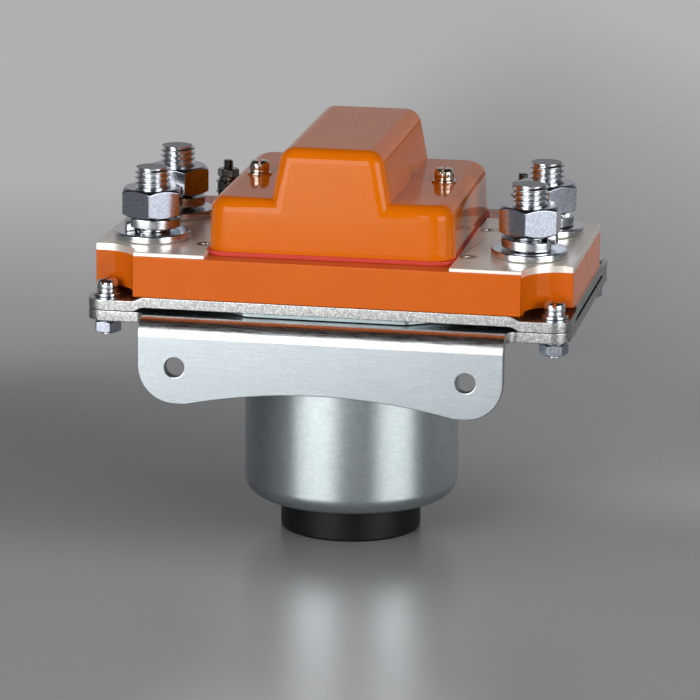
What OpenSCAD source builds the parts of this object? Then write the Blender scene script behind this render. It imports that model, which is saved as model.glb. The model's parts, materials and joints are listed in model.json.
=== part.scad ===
// Open-type single-pole DC contactor, in millimetres, +Z up.
// The origin is on the coil axis, at the underside of the end cap that it stands on.
// The front, with the mounting flange, faces -Y.

/* [Moulded base] */
// Width of the base between its side faces
base_w = 134; // [124:1:146]
// Depth of the base from front to rear
base_d = 86.2; // [82:0.2:96]
// Height of the base between the terminal plates
base_h = 11.5; // [10.5:0.5:16]
// Width of the corner notches
notch_w = 12.9; // [12:0.1:14]
// Depth of the two front corner notches
notch_front = 10.9; // [10.6:0.1:13]
// Depth of the two rear corner notches
notch_rear = 17.6; // [16:0.1:20]
// Radius inside the corner notches
notch_r = 10.5; // [6:0.5:10.5]
// Depth of the recesses that hold the terminal plates
recess = 1; // [0.5:0.1:1.5]
// Relief under the corners of the base
lobe_relief = 0.8; // [0.4:0.1:1.2]

/* [Cover] */
// Width of the cover at its foot
cover_w = 69; // [66:1:74]
// Depth of the cover at its foot
cover_d = 73.2; // [68:0.2:76]
// Height of the cover's shoulders above its foot
shoulder_h = 14.6; // [14:0.1:18]
// Height of the cover's ridge above its foot
ridge_h = 29.1; // [28:0.1:34]
// Width of the ridge at its top
ridge_w = 28; // [26:0.5:34]
// Slope of the ridge's sides
ridge_draft = 10.4; // [5:0.1:14]
// Draft of the cover's outer walls
draft = 2.6; // [1:0.1:4]
// Radius of the cover's outer edges
cover_r = 4; // [3.5:0.25:5]
// Wall of the cover
cover_wall = 2.2; // [1.8:0.1:2.6]
// Thickness of the gasket under the cover
gasket_t = 1.5; // [1.2:0.1:2]
// Width of the gasket's ring
gasket_w = 4; // [3:0.5:5]

/* [Terminals] */
// Diameter of the terminal studs
stud_d = 10; // [8:1:10]
// Distance of the terminal studs from the base's side face
stud_inset = 13.7; // [12:0.1:15]
// Distance of the front studs from the front face
stud_front = 21.3; // [20:0.1:24]
// Distance between the two studs of a plate
stud_pitch = 32.3; // [28:0.1:34]
// Length of the stud above its nut
stud_end = 5.7; // [3:0.1:12]
// Thickness of the terminal plates
plate_t = 2; // [1.6:0.1:3]
// Width of the tongue that carries the fixed contact tip
tongue_w = 26; // [20:1:30]
// Across flats of the terminal nuts and of the studs' heads
nut_af = 16; // [14:0.5:17]
// Height of the terminal nuts
nut_h = 8; // [6:0.5:10]
// Outer diameter of the terminal flat washers
washer_d = 21.3; // [18:0.1:24]
// Thickness of the terminal flat washers
washer_t = 2.2; // [1.5:0.1:3]
// Outer diameter of the terminal spring washers
spring_washer_d = 15.7; // [15:0.1:17]
// Thickness of the terminal spring washers
spring_washer_t = 2.6; // [2:0.1:3]
// Free opening of the terminal spring washers
spring_washer_open = 1.65; // [0.5:0.05:2]

/* [Coil studs] */
// Diameter of the two coil studs
coil_stud_d = 3; // [2.5:0.5:4]
// Distance of the coil studs from the rear face
coil_stud_rear = 10.1; // [9:0.1:12]
// Distance of the coil studs from the notch wall
coil_stud_inset = 10.8; // [9:0.1:14]
// Length of the coil studs above their nuts
coil_stud_end = 2.5; // [1:0.1:6]

/* [Steel frame] */
// Thickness of the yoke plate and of the bracket
sheet_t = 3; // [2:0.5:4]
// Radius of the plates' corners
sheet_r = 5; // [3:0.5:6]
// Width of the bracket's mounting flange
flange_w = 101.6; // [96:0.2:106]
// Distance of the flange's front face from the coil axis
flange_y = 51; // [50:0.5:56]
// Outer radius of the flange's bend
bend_r = 5; // [4.5:0.5:7]
// Distance between the two mounting holes
mount_pitch = 81; // [76:0.5:84]
// Diameter of the mounting holes
mount_d = 5.5; // [4.5:0.5:6.5]
// Height of the mounting holes above the foot
mount_z = 56; // [54:0.5:58]
// Height of the flange's arched lower edge at its middle
arch_z = 50; // [47:0.5:53]
// Radius of the flange's arched lower edge
arch_r = 165; // [150:5:220]
// Radius of the ears that are pressed down at the plate's corners
ear_r = 13.1; // [12.5:0.1:14]

/* [Coil can] */
// Outer diameter of the coil can
can_d = 61; // [58:1:66]
// Height of the coil can with its flange
can_h = 60.5; // [58:0.5:70]
// Sheet of the coil can
can_t = 1.2; // [0.8:0.1:1.5]
// Radius of the can's lower edge
can_r = 5; // [3:0.5:6]
// Diameter of the can's flange, which the plate's depth cuts off
can_flange_d = 96.6; // [90:0.2:104]
// Diameter of the end cap
cap_d = 40; // [36:1:46]
// Height of the end cap
cap_h = 10; // [10:0.5:16]
// Wall of the end cap
cap_wall = 2.5; // [2:0.5:4]

/* [Moving parts] */
// Diameter of the plunger and of the fixed core
plunger_d = 20; // [18:1:20]
// Travel of the plunger
travel = 5.5; // [5:0.1:5.8]
// Gap between the contact tips at rest
contact_gap = 4.05; // [3.6:0.05:4.2]
// Diameter of the push rod
rod_d = 6; // [5:0.5:6]
// Height of the fixed core's pole face above the foot
core_z = 40; // [36:1:44]
// Thickness of the contact bridge
bridge_t = 3; // [2.5:0.5:3]
// Width of the contact bridge
bridge_w = 14; // [13:1:16]
// Length of the contact bridge beyond the middle of its tips
bridge_end = 5; // [4.5:0.1:6]
// Diameter of the contact tips
tip_d = 9; // [7:0.5:9]

/* [Fasteners] */
// Across flats of the corner screws' nuts
corner_nut_af = 7; // [6:0.5:8]
// Diameter of the corner screws
corner_screw_d = 4; // [3:0.5:4]
// Diameter of the cover screws
cover_screw_d = 3; // [2.5:0.5:3]

/* [Hidden] */
$fn = 72;

// Small amount by which cuts run past the faces that they open
cut = 1;
// Running clearance of a sliding piece on its radius
run_gap = 0.05;
// Clearance between fixed pieces that are only put together
fit_gap = 0.1;
// Room in a washer's hole, over the diameter of its screw
washer_room = 0.4;
// A stud is drawn at its thread's outer diameter where it stands free, and at this share of it,
// the thread's root diameter, where it runs through its nuts
thread_root = 0.82;

// Levels of the fixed pieces, from the foot up
z_yoke = cap_h + can_h;
z_base = z_yoke + sheet_t;
z_base_top = z_base + base_h;
z_recess = z_base_top - recess;
z_plate = z_recess + plate_t;
z_cover = z_base_top + gasket_t;
z_shoulder = z_cover + shoulder_h;
z_ridge = z_cover + ridge_h;
z_bracket_top = z_yoke - can_t;
z_bracket = z_bracket_top - sheet_t;
z_ear_top = z_base - can_t;
z_can_floor = cap_h + can_t;

// Fillet between the can and its flange, and the bracket's room round it
can_neck_r = 1.2;
can_hole_gap = 0.5;
// Distance of the can's flange behind the plates' front and rear edges
can_flange_back = 0.3;

// Terminals
stud_x = base_w / 2 - stud_inset;
stud_y = -base_d / 2 + stud_front;
stud_ys = [stud_y, stud_y + stud_pitch];
stud_head_h = 6.4;
stud_chamfer = 0.5;
stud_hole_gap = 0.25;
stud_shank_d = stud_d * thread_root;
// Turn of each nut on its stud, front and rear, left and right
nut_turn_left = [2.4, 25];
nut_turn_right = [6.2, 12.8];
washer_turn_left = [215, 160];
washer_turn_right = [-32, 20];
z_spring_washer = z_plate + washer_t;
z_nut = z_spring_washer + spring_washer_t + spring_washer_open;
z_stud_top = z_nut + nut_h + stud_end;

// Cover screws stand between the ridge and the ends of the shoulders
cover_screw_inset = 8.1;
cover_screw_x = cover_w / 2 - cover_screw_inset;
cover_screw_l = 24.5;
cover_boss_r = 4.2;
base_boss_r = 4.4;
small_washer_d = 7;
small_washer_t = 0.6;
small_spring_washer_d = 5.6;
small_spring_washer_t = 0.9;
cover_head_d = 5.6;
cover_head_h = 2.5;

// Terminal plates
plate_overlap = 0.4;
plate_rim = 0.9;
plate_in_x = cover_w / 2 - plate_overlap;
plate_front = -base_d / 2 + plate_rim;
plate_rear = base_d / 2 - notch_rear;
tip_t = 1.55;
tongue_margin = 1.5;
boss_gap = 0.5;
tip_x = cover_screw_x - base_boss_r - boss_gap - bridge_end;
tongue_x = tip_x - tip_d / 2 - tongue_margin;
plate_screw_d = 3;
plate_screw_head_d = 5.2;
plate_screw_head_h = 1.3;
plate_screw_l = 8;
plate_screw_x = plate_in_x + 3;
plate_screw_y = [stud_ys[0] - 5, stud_ys[1] - 1];
plate_screw_chamfer = 0.5;
plate_recess_l = 2.8;
plate_recess_w = 0.7;
plate_recess_h = 0.7;

// Corner screws clamp the two plates' ears
sheet_proud_x = 0.5;
sheet_proud_y = 0.2;
sheet_w = base_w + 2 * sheet_proud_x;
sheet_d = base_d + 2 * sheet_proud_y;
corner_x = sheet_w / 2 - 4.9;
corner_y = sheet_d / 2 - 6.7;
ear_ramp = 3.4;
corner_head_d = 6;
corner_head_h = 2.7;
corner_washer_d = 7.6;
corner_washer_t = 0.9;
corner_spring_washer_d = 5.8;
corner_spring_washer_t = 1.1;
corner_nut_h = 3.2;
corner_lower_washer_d = 6.6;
corner_lower_washer_t = 1;
corner_tip = 0.7;

// Coil studs
coil_stud_x = base_w / 2 - notch_w - coil_stud_inset;
coil_stud_y = base_d / 2 - coil_stud_rear;
coil_shank_d = coil_stud_d * thread_root;
coil_tip_chamfer = 0.4;
coil_head_d = 6;
coil_head_h = 1.5;
coil_head_depth = 2.4;
coil_nut_af = 5.5;
coil_nut_h = 2.4;
coil_spacer_h = 3.6;
coil_washer_d = 7;
coil_washer_t = 0.5;
coil_spring_washer_d = 5.4;
coil_spring_washer_t = 1.1;
z_coil_head = z_base + coil_head_depth;
z_coil_washer = z_base_top + coil_spacer_h;
z_coil_nut = z_coil_washer + coil_washer_t;
z_coil_washer_2 = z_coil_nut + coil_nut_h;
z_coil_spring_washer = z_coil_washer_2 + coil_washer_t;
z_coil_nut_2 = z_coil_spring_washer + coil_spring_washer_t;
z_coil_tip = z_coil_nut_2 + coil_nut_h + coil_stud_end;

// Coil leads run from the winding up through the yoke plate and along grooves under the base
lead_d = 1.6;
lead_x = 22;
lead_y = 12;
groove_w = 2.6;
groove_h = 2.8;
lead_hole_r = 1.5;
z_lead = z_coil_head - lead_d / 2 - fit_gap;

// Magnet system
guide_wall = 0.75;
guide_in = plunger_d / 2 + run_gap;
guide_out = guide_in + guide_wall;
bobbin_wall = 1.2;
bobbin_in = guide_out + fit_gap;
bobbin_flange = 2;
bobbin_gap = 0.8;
bobbin_flange_r = can_d / 2 - can_t - bobbin_gap;
bobbin_z = z_can_floor + fit_gap;
bobbin_top = z_yoke - 2 * fit_gap;
bobbin_foot_r = bobbin_flange_r - 2;
z_winding_top = bobbin_top - bobbin_flange;
spring_pocket_r = 6.2;
spring_pocket_h = 10;
spring_gap = 0.4;
return_wire_d = 1;
return_turns = 8;
contact_wire_d = 1.1;
contact_turns = 5;
pole_gap = 0.3;
z_plunger = core_z + travel + pole_gap;
stop_t = 1;
stop_gap = 0.5;
z_plunger_top = z_base - stop_t;
core_stud_d = 6;
core_nut_af = 10;
core_nut_h = 4.5;
core_washer_t = 1.2;
core_washer_d = 12;
core_stud_end = 0.4;

// Contacts
z_fixed_tip = z_plate + tip_t;
z_moving_tip = z_fixed_tip + contact_gap;
moving_tip_t = 2.05;
z_bridge = z_moving_tip + moving_tip_t;
overtravel = 1.5;
bush_flange_t = 1.7;
bush_flange_r = 6.8;
rod_collar_t = 1.3;
rod_collar_r = 4.5;
bush_wall = 1.9;
bush_sleeve_r = rod_d / 2 + bush_wall;
bush_end = 0.6;
insulating_washer_t = 0.8;
insulating_washer_r = 7.4;
z_contact_spring = z_bridge + bridge_t + insulating_washer_t;
spring_cup_t = 1;
spring_cup_r = 7.4;
contact_spring_h = 9.3;
z_spring_cup = z_contact_spring + contact_spring_h;
rod_nut_af = 10;
rod_nut_h = 3;
rod_end = 0.6;
z_rod_top = z_spring_cup + spring_cup_t + rod_nut_h + rod_end;
rod_depth = 12;
guide_bush_wall = 2;
guide_bush_r = rod_d / 2 + guide_bush_wall;
guide_bush_flange_r = guide_bush_r + guide_bush_wall;
guide_bush_flange_t = 1.5;

// Copies its children at their place on the right, and mirrored on the left
module both_sides() {
    children();
    mirror([1, 0, 0]) children();
}

// Copies its children, drawn in the right rear corner, to all four corners
module four_corners() {
    both_sides() {
        children();
        mirror([0, 1, 0]) children();
    }
}

// Rectangle with round corners, about the origin
module rounded_rect(w, d, r) {
    square([w - 2 * r, d], center = true);
    square([w, d - 2 * r], center = true);
    for (x = [-1, 1], y = [-1, 1]) translate([x * (w / 2 - r), y * (d / 2 - r)]) circle(r);
}

// Ring between two radii
module ring(r_out, r_in, h) {
    difference() {
        cylinder(r = r_out, h = h);
        translate([0, 0, -cut]) cylinder(r = r_in, h = h + 2 * cut);
    }
}

// Washer with lightly broken edges
module flat_washer(d_out, d_in, t, edge = 0.2) {
    rotate_extrude() polygon([
        [d_in / 2, 0], [d_out / 2 - edge, 0], [d_out / 2, edge], [d_out / 2, t - edge],
        [d_out / 2 - edge, t], [d_in / 2, t]
    ]);
}

// Small spring washer: a ring with one slanted split
module split_washer(d_out, d_in, t) {
    split = 0.5;
    slant = 25;
    difference() {
        ring(d_out / 2, d_in / 2, t);
        translate([0, 0, t / 2]) rotate([slant, 0, 0])
            translate([0, -split / 2, -3 * t]) cube([d_out, split, 6 * t]);
    }
}

// Hexagon nut with both ends chamfered, standing on z = 0
module hex_nut(af, h, bore_d) {
    flat_r = af * 0.475;
    top_r = af / sqrt(3) + 0.2;
    rise = (top_r - flat_r) * tan(30);
    difference() {
        intersection() {
            rotate([0, 0, 30]) cylinder(r = af / sqrt(3), h = h, $fn = 6);
            rotate_extrude() polygon([
                [0, 0], [flat_r, 0], [top_r, rise], [top_r, h - rise], [flat_r, h], [0, h]
            ]);
        }
        translate([0, 0, -cut]) cylinder(d = bore_d, h = h + 2 * cut);
    }
}

// Screw with a domed head on z = 0, slotted right across and crossed by a short recess
module pan_screw(head_d, head_h, shank_d, length) {
    edge = head_h * 0.45;
    slot_w = head_d * 0.15;
    slot_z = head_h * 0.5;
    recess_l = head_d * 0.6;
    difference() {
        union() {
            rotate_extrude() polygon(concat(
                [[0, 0], [head_d / 2, 0], [head_d / 2, head_h - edge]],
                [for (a = [15:15:90])
                    [head_d / 2 - edge * (1 - cos(a)), head_h - edge + edge * sin(a)]],
                [[0, head_h]]
            ));
            translate([0, 0, -length]) cylinder(d = shank_d, h = length + head_h / 2);
        }
        translate([-head_d, -slot_w / 2, slot_z]) cube([2 * head_d, slot_w, head_h]);
        translate([-slot_w / 2, -recess_l / 2, slot_z]) cube([slot_w, recess_l, head_h]);
    }
}

// Points of one cross-section of a coiled wire at angle a and height z
function wire_ring(radius, wire_r, a, z, sides) = [
    for (k = [0:sides - 1])
        let (b = 360 * k / sides, r = radius + wire_r * cos(b))
        [r * cos(a), r * sin(a), z + wire_r * sin(b)]
];

// Closed skin over a run of rings that all have the same number of points
module skin(rings) {
    sides = len(rings[0]);
    last = len(rings) - 1;
    polyhedron(
        points = [for (ring = rings) for (p = ring) p],
        faces = concat(
            [[for (k = [0:sides - 1]) k]],
            [[for (k = [0:sides - 1]) last * sides + sides - 1 - k]],
            [for (i = [0:last - 1]) for (k = [0:sides - 1])
                [i * sides + k, (i + 1) * sides + k, (i + 1) * sides + (k + 1) % sides,
                 i * sides + (k + 1) % sides]]
        )
    );
}

// Compression spring standing on z = 0, with closed end turns
module compression_spring(outer_r, wire_d, h, turns) {
    wire_r = wire_d / 2;
    steps = turns * 16;
    free = h - 3 * wire_d;
    skin([
        for (i = [0:steps])
            let (t = i / steps * turns, end = min(t, 1) + max(t - turns + 1, 0))
            wire_ring(outer_r - wire_r, wire_r, -360 * t,
                wire_r + wire_d * end + free * min(max((t - 1) / (turns - 2), 0), 1), 8)
    ]);
}

// Terminal spring washer: one open turn of square wire standing on z = 0
module open_spring_washer(d_out, d_in, t, opening) {
    span = 344;
    steps = 43;
    skin([
        for (i = [0:steps])
            let (a = -span * i / steps, z = opening * i / steps)
            [[d_in / 2 * cos(a), d_in / 2 * sin(a), z],
             [d_out / 2 * cos(a), d_out / 2 * sin(a), z],
             [d_out / 2 * cos(a), d_out / 2 * sin(a), z + t],
             [d_in / 2 * cos(a), d_in / 2 * sin(a), z + t]]
    ]);
}

// Outline of what a corner notch takes away, in the right rear corner
module notch_outline(depth) {
    x = base_w / 2 - notch_w;
    y = base_d / 2 - depth;
    translate([x + notch_r, y]) square([notch_w, depth + cut]);
    translate([x, y + notch_r]) square([notch_w + cut, depth + cut]);
    translate([x + notch_r, y + notch_r]) circle(notch_r);
}

module base_outline() {
    difference() {
        square([base_w, base_d], center = true);
        both_sides() {
            notch_outline(notch_rear);
            mirror([0, 1, 0]) notch_outline(notch_front);
        }
    }
}

// Terminal plate's outline on the right: a pad behind the base's front rim and a tongue under the cover
module plate_outline() {
    intersection() {
        base_outline();
        translate([plate_in_x, plate_front])
            square([base_w / 2 - plate_in_x, plate_rear - plate_front]);
    }
    translate([tongue_x, -tongue_w / 2]) square([plate_in_x - tongue_x + cut, tongue_w]);
}

// Groove under the base for the right coil lead, from the yoke plate's hole to the coil stud
module lead_groove() {
    run = norm([coil_stud_x - lead_x, coil_stud_y - lead_y]);
    turn = atan2(coil_stud_y - lead_y, coil_stud_x - lead_x);
    translate([lead_x, lead_y, z_base - cut]) {
        cylinder(d = groove_w, h = groove_h + cut);
        rotate([0, 0, turn]) translate([0, -groove_w / 2, 0]) cube([run, groove_w, groove_h + cut]);
    }
}

// Moulded base that carries the terminals and the cover
module base() {
    slit_w = 0.5;
    slit_h = 5;
    slit_depth = 0.8;
    slit_y = -5;
    relief_inset = 0.25;
    relief_x = base_w / 2 - notch_w + relief_inset;
    relief_y = base_d / 2 - notch_front - 5;
    color("#d8651f") difference() {
        union() {
            difference() {
                translate([0, 0, z_base]) linear_extrude(base_h) base_outline();
                both_sides() translate([0, 0, z_recess])
                    linear_extrude(recess + cut) plate_outline();
            }
            both_sides() translate([cover_screw_x, 0, z_recess - cut])
                cylinder(r = base_boss_r, h = z_cover - z_recess + cut);
        }
        both_sides() {
            for (y = stud_ys) translate([stud_x, y, z_recess - stud_head_h]) rotate([0, 0, 30])
                cylinder(r = (nut_af + 2 * fit_gap) / sqrt(3), h = stud_head_h + cut, $fn = 6);
            translate([cover_screw_x, 0, z_shoulder - cover_screw_l])
                cylinder(d = cover_screw_d + fit_gap, h = cover_screw_l);
            for (y = plate_screw_y) translate([plate_screw_x, y, z_plate - plate_screw_l - fit_gap])
                cylinder(d = plate_screw_d + fit_gap, h = plate_screw_l);
            translate([coil_stud_x, coil_stud_y, z_base - cut]) {
                cylinder(d = coil_shank_d + fit_gap, h = base_h + 2 * cut);
                cylinder(d = coil_head_d + 2 * fit_gap, h = coil_head_depth + coil_head_h + cut);
            }
            lead_groove();
            translate([base_w / 2 - slit_depth, slit_y - slit_w / 2, z_recess - slit_h])
                cube([slit_depth + cut, slit_w, slit_h + cut]);
        }
        four_corners() translate([relief_x, relief_y, z_base - cut])
            cube([notch_w + cut, base_d, lobe_relief + cut]);
        translate([0, 0, z_base - cut]) cylinder(r = guide_bush_r + run_gap, h = base_h + 2 * cut);
        translate([0, 0, z_base_top - guide_bush_flange_t])
            cylinder(r = guide_bush_flange_r + run_gap, h = guide_bush_flange_t + cut);
    }
}

// Body of the cover inside a given inset: shoulders, or the ridge that stands on them
module cover_block(half_w, top_z, slope, inset) {
    r = cover_r - inset * 0.6;
    foot_z = z_cover - (inset > 0 ? cut : 0);
    rise = top_z - z_cover;
    half_d = cover_d / 2 - inset;
    foot_h = 0.5;
    top_x = half_w - inset - rise * tan(slope) + r * tan(slope) - r / cos(slope);
    top_y = half_d - rise * tan(draft) + r * tan(draft) - r / cos(draft);
    hull() for (x = [-1, 1], y = [-1, 1]) {
        translate([x * (half_w - inset - r), y * (half_d - r), foot_z])
            cylinder(r = r, h = foot_h, $fn = 32);
        translate([x * top_x, y * top_y, top_z - inset - r]) sphere(r, $fn = 32);
    }
}

module cover_solid(inset) {
    cover_block(cover_w / 2, z_shoulder, draft, inset);
    cover_block(ridge_w / 2 + ridge_h * tan(ridge_draft), z_ridge, ridge_draft, inset);
}

// Moulded cover: a shell with a tall ridge over the push rod and two screw bosses
module cover() {
    color("#dc7a3a") difference() {
        union() {
            difference() {
                cover_solid(0);
                cover_solid(cover_wall);
            }
            both_sides() translate([cover_screw_x, 0, z_cover])
                cylinder(r = cover_boss_r, h = shoulder_h - cover_wall / 2);
        }
        both_sides() translate([cover_screw_x, 0, z_cover - cut])
            cylinder(d = cover_screw_d + washer_room, h = shoulder_h + 2 * cut);
    }
}

// Soft gasket between the cover and the base, notched where it crosses the terminal plates
module cover_gasket() {
    proud = 0.4;
    color("#c03028") difference() {
        translate([0, 0, z_base_top]) linear_extrude(gasket_t) difference() {
            rounded_rect(cover_w + 2 * proud, cover_d + 2 * proud, cover_r + proud);
            rounded_rect(cover_w - 2 * gasket_w, cover_d - 2 * gasket_w, cover_r / 2);
        }
        both_sides() translate([0, 0, z_base_top - cut])
            linear_extrude(plate_t - recess + cut) plate_outline();
    }
}

// Silvered copper terminal plate on the right
module terminal_plate() {
    screw_hole_d = plate_screw_d + fit_gap;
    head_hole_d = plate_screw_head_d + fit_gap;
    color("#cdbfae") difference() {
        translate([0, 0, z_recess]) linear_extrude(plate_t) plate_outline();
        for (y = stud_ys) translate([stud_x, y, z_recess - cut])
            cylinder(d = stud_d + 2 * stud_hole_gap, h = plate_t + 2 * cut);
        translate([cover_screw_x, 0, z_recess - cut])
            cylinder(r = base_boss_r + fit_gap, h = plate_t + 2 * cut);
        for (y = plate_screw_y) translate([plate_screw_x, y, z_plate]) {
            translate([0, 0, -plate_t - cut]) cylinder(d = screw_hole_d, h = plate_t + 2 * cut);
            translate([0, 0, -plate_screw_head_h])
                cylinder(d1 = screw_hole_d, d2 = head_hole_d, h = plate_screw_head_h);
            cylinder(d = head_hole_d, h = cut);
        }
    }
}

// Silver tips on the inner ends of the terminal plates
module fixed_tips() {
    color("#d9d9d6") both_sides() translate([tip_x, 0, z_plate]) cylinder(d = tip_d, h = tip_t);
}

// Terminal stud: a hexagon head held in the base, a shank and the free end above the nut
module terminal_stud(x, y) {
    r = stud_d / 2;
    shank_r = stud_shank_d / 2;
    z_free = z_nut + nut_h;
    color("#c9ccd0") translate([x, y, 0]) {
        translate([0, 0, z_recess - stud_head_h]) rotate([0, 0, 30])
            cylinder(r = nut_af / sqrt(3), h = stud_head_h, $fn = 6);
        rotate_extrude() polygon([
            [0, z_recess - stud_head_h], [shank_r, z_recess - stud_head_h], [shank_r, z_free],
            [r, z_free], [r, z_stud_top - stud_chamfer], [r - stud_chamfer, z_stud_top], [0, z_stud_top]
        ]);
    }
}

module terminal_nut(x, y, turn) {
    color("#c3c6cc") translate([x, y, z_nut]) rotate([0, 0, turn])
        hex_nut(nut_af, nut_h, stud_shank_d + fit_gap);
}

module terminal_spring_washer(x, y, turn) {
    color("#b7bbc2") translate([x, y, z_spring_washer]) rotate([0, 0, turn])
        open_spring_washer(spring_washer_d, stud_d + washer_room, spring_washer_t, spring_washer_open);
}

module terminal_washer(x, y) {
    edge = 0.35;
    color("#cbced2") translate([x, y, z_plate])
        flat_washer(washer_d, stud_d + washer_room, washer_t, edge);
}

// Countersunk screws that hold the terminal plates, flush with their tops
module plate_screws() {
    color("#d0cdc8") both_sides() for (y = plate_screw_y) translate([plate_screw_x, y, z_plate])
        difference() {
            union() {
                translate([0, 0, -plate_screw_head_h])
                    cylinder(d1 = plate_screw_d, d2 = plate_screw_head_d, h = plate_screw_head_h);
                translate([0, 0, -plate_screw_l])
                    cylinder(d = plate_screw_d, h = plate_screw_l - plate_screw_chamfer);
            }
            for (a = [20, 110]) rotate([0, 0, a])
                translate([-plate_recess_l / 2, -plate_recess_w / 2, -plate_recess_h])
                    cube([plate_recess_l, plate_recess_w, plate_recess_h + cut]);
        }
}

module cover_washers() {
    color("#b9a58c") both_sides() translate([cover_screw_x, 0, z_shoulder])
        flat_washer(small_washer_d, cover_screw_d + washer_room, small_washer_t, 0.1);
}

module cover_spring_washers() {
    color("#b9a58c") both_sides() translate([cover_screw_x, 0, z_shoulder + small_washer_t])
        rotate([0, 0, 150])
            split_washer(small_spring_washer_d, cover_screw_d + washer_room, small_spring_washer_t);
}

module cover_screws() {
    head_z = z_shoulder + small_washer_t + small_spring_washer_t;
    color("#c4ad92") both_sides() translate([cover_screw_x, 0, head_z]) rotate([0, 0, 15])
        pan_screw(cover_head_d, cover_head_h, cover_screw_d, cover_screw_l - 1);
}

module corner_washers() {
    color("#c9cdd0") four_corners() translate([corner_x, corner_y, z_ear_top])
        flat_washer(corner_washer_d, corner_screw_d + washer_room, corner_washer_t, 0.15);
}

module corner_spring_washers() {
    color("#bfc3c8") four_corners()
        translate([corner_x, corner_y, z_ear_top + corner_washer_t]) rotate([0, 0, 200])
            split_washer(corner_spring_washer_d, corner_screw_d + washer_room, corner_spring_washer_t);
}

module corner_screws() {
    head_z = z_ear_top + corner_washer_t + corner_spring_washer_t;
    reach = head_z - z_bracket + corner_lower_washer_t + corner_nut_h + corner_tip;
    color("#cfccc6") four_corners() translate([corner_x, corner_y, head_z]) rotate([0, 0, 35])
        pan_screw(corner_head_d, corner_head_h, corner_screw_d, reach);
}

module corner_lower_spring_washers() {
    color("#bfc3c8") four_corners()
        translate([corner_x, corner_y, z_bracket - corner_lower_washer_t]) rotate([0, 0, 250])
            split_washer(corner_lower_washer_d, corner_screw_d + washer_room, corner_lower_washer_t);
}

module corner_nuts() {
    color("#c6cac8") four_corners()
        translate([corner_x, corner_y, z_bracket - corner_lower_washer_t - corner_nut_h])
            rotate([0, 0, 20]) hex_nut(corner_nut_af, corner_nut_h, corner_screw_d + fit_gap);
}

// Coil stud on the right, with its round head in a pocket under the base
module coil_stud() {
    r = coil_stud_d / 2;
    shank_r = coil_shank_d / 2;
    head_top = z_coil_head + coil_head_h;
    z_free = z_coil_nut_2 + coil_nut_h;
    color("#b9b7a8") translate([coil_stud_x, coil_stud_y, 0]) rotate_extrude() polygon([
        [0, z_coil_head], [coil_head_d / 2, z_coil_head], [coil_head_d / 2, head_top],
        [shank_r, head_top], [shank_r, z_free], [r, z_free], [r, z_coil_tip - coil_tip_chamfer],
        [r - coil_tip_chamfer, z_coil_tip], [0, z_coil_tip]
    ]);
}

module coil_stud_nuts() {
    bore = coil_shank_d + fit_gap;
    color("#8f9398") both_sides() translate([coil_stud_x, coil_stud_y, 0]) {
        translate([0, 0, z_base_top]) hex_nut(coil_nut_af, coil_spacer_h, bore);
        translate([0, 0, z_coil_nut]) rotate([0, 0, 12]) hex_nut(coil_nut_af, coil_nut_h, bore);
        translate([0, 0, z_coil_nut_2]) rotate([0, 0, 25]) hex_nut(coil_nut_af, coil_nut_h, bore);
    }
}

module coil_stud_washers() {
    color("#a9acb0") both_sides() for (z = [z_coil_washer, z_coil_washer_2])
        translate([coil_stud_x, coil_stud_y, z])
            flat_washer(coil_washer_d, coil_stud_d + washer_room, coil_washer_t, 0.1);
}

module coil_stud_spring_washers() {
    color("#8f9398") both_sides() translate([coil_stud_x, coil_stud_y, z_coil_spring_washer])
        split_washer(coil_spring_washer_d, coil_stud_d + washer_room, coil_spring_washer_t);
}

// Holes for the four corner screws through a plate
module corner_holes(z) {
    four_corners() translate([corner_x, corner_y, z - cut])
        cylinder(d = corner_screw_d + washer_room, h = 2 * sheet_t + 2 * cut);
}

// Point on the smooth rise from an ear to the plate: t runs from 0 at the ear to 1 at the plate
function ramp_point(t, z) = [ear_r + ear_ramp * t, z + can_t * (1 - cos(180 * t)) / 2];

// Steel yoke plate under the base, with its four corner ears pressed down onto the bracket
module yoke_plate() {
    ramp_r = ear_r + ear_ramp;
    ramp_steps = 6;
    steps = [for (i = [0:ramp_steps]) i / ramp_steps];
    color("#c2c8c9") difference() {
        intersection() {
            translate([0, 0, z_bracket_top])
                linear_extrude(sheet_t + can_t) rounded_rect(sheet_w, sheet_d, sheet_r);
            union() {
                difference() {
                    translate([-sheet_w / 2, -sheet_d / 2, z_yoke]) cube([sheet_w, sheet_d, sheet_t]);
                    four_corners() translate([sheet_w / 2, sheet_d / 2, z_yoke - cut])
                        cylinder(r = ramp_r, h = sheet_t + 2 * cut);
                }
                four_corners() translate([sheet_w / 2, sheet_d / 2, 0]) rotate_extrude()
                    polygon(concat(
                        [[0, z_bracket_top]], [for (t = steps) ramp_point(t, z_bracket_top)],
                        [for (i = [ramp_steps:-1:0]) ramp_point(i / ramp_steps, z_ear_top)],
                        [[0, z_ear_top]]
                    ));
            }
        }
        corner_holes(z_bracket_top);
        translate([0, 0, z_yoke - cut]) cylinder(r = guide_out + fit_gap, h = sheet_t + 2 * cut);
        both_sides() translate([lead_x, lead_y, z_yoke - cut])
            cylinder(r = lead_hole_r, h = sheet_t + 2 * cut);
    }
}

// Flange's outline in X and Z: two round lobes about the holes with a shallow arch between them
module flange_outline() {
    lobe_r = (flange_w - mount_pitch) / 2;
    top = z_bracket_top - bend_r;
    translate([-flange_w / 2, mount_z]) square([flange_w, top - mount_z]);
    for (x = [-1, 1]) translate([x * mount_pitch / 2, mount_z]) intersection() {
        circle(lobe_r);
        translate([-lobe_r, -lobe_r]) square([2 * lobe_r, lobe_r + cut]);
    }
    difference() {
        translate([-mount_pitch / 2, mount_z - lobe_r]) square([mount_pitch, lobe_r]);
        translate([0, arch_z - arch_r]) circle(arch_r, $fn = 360);
    }
}

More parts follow.
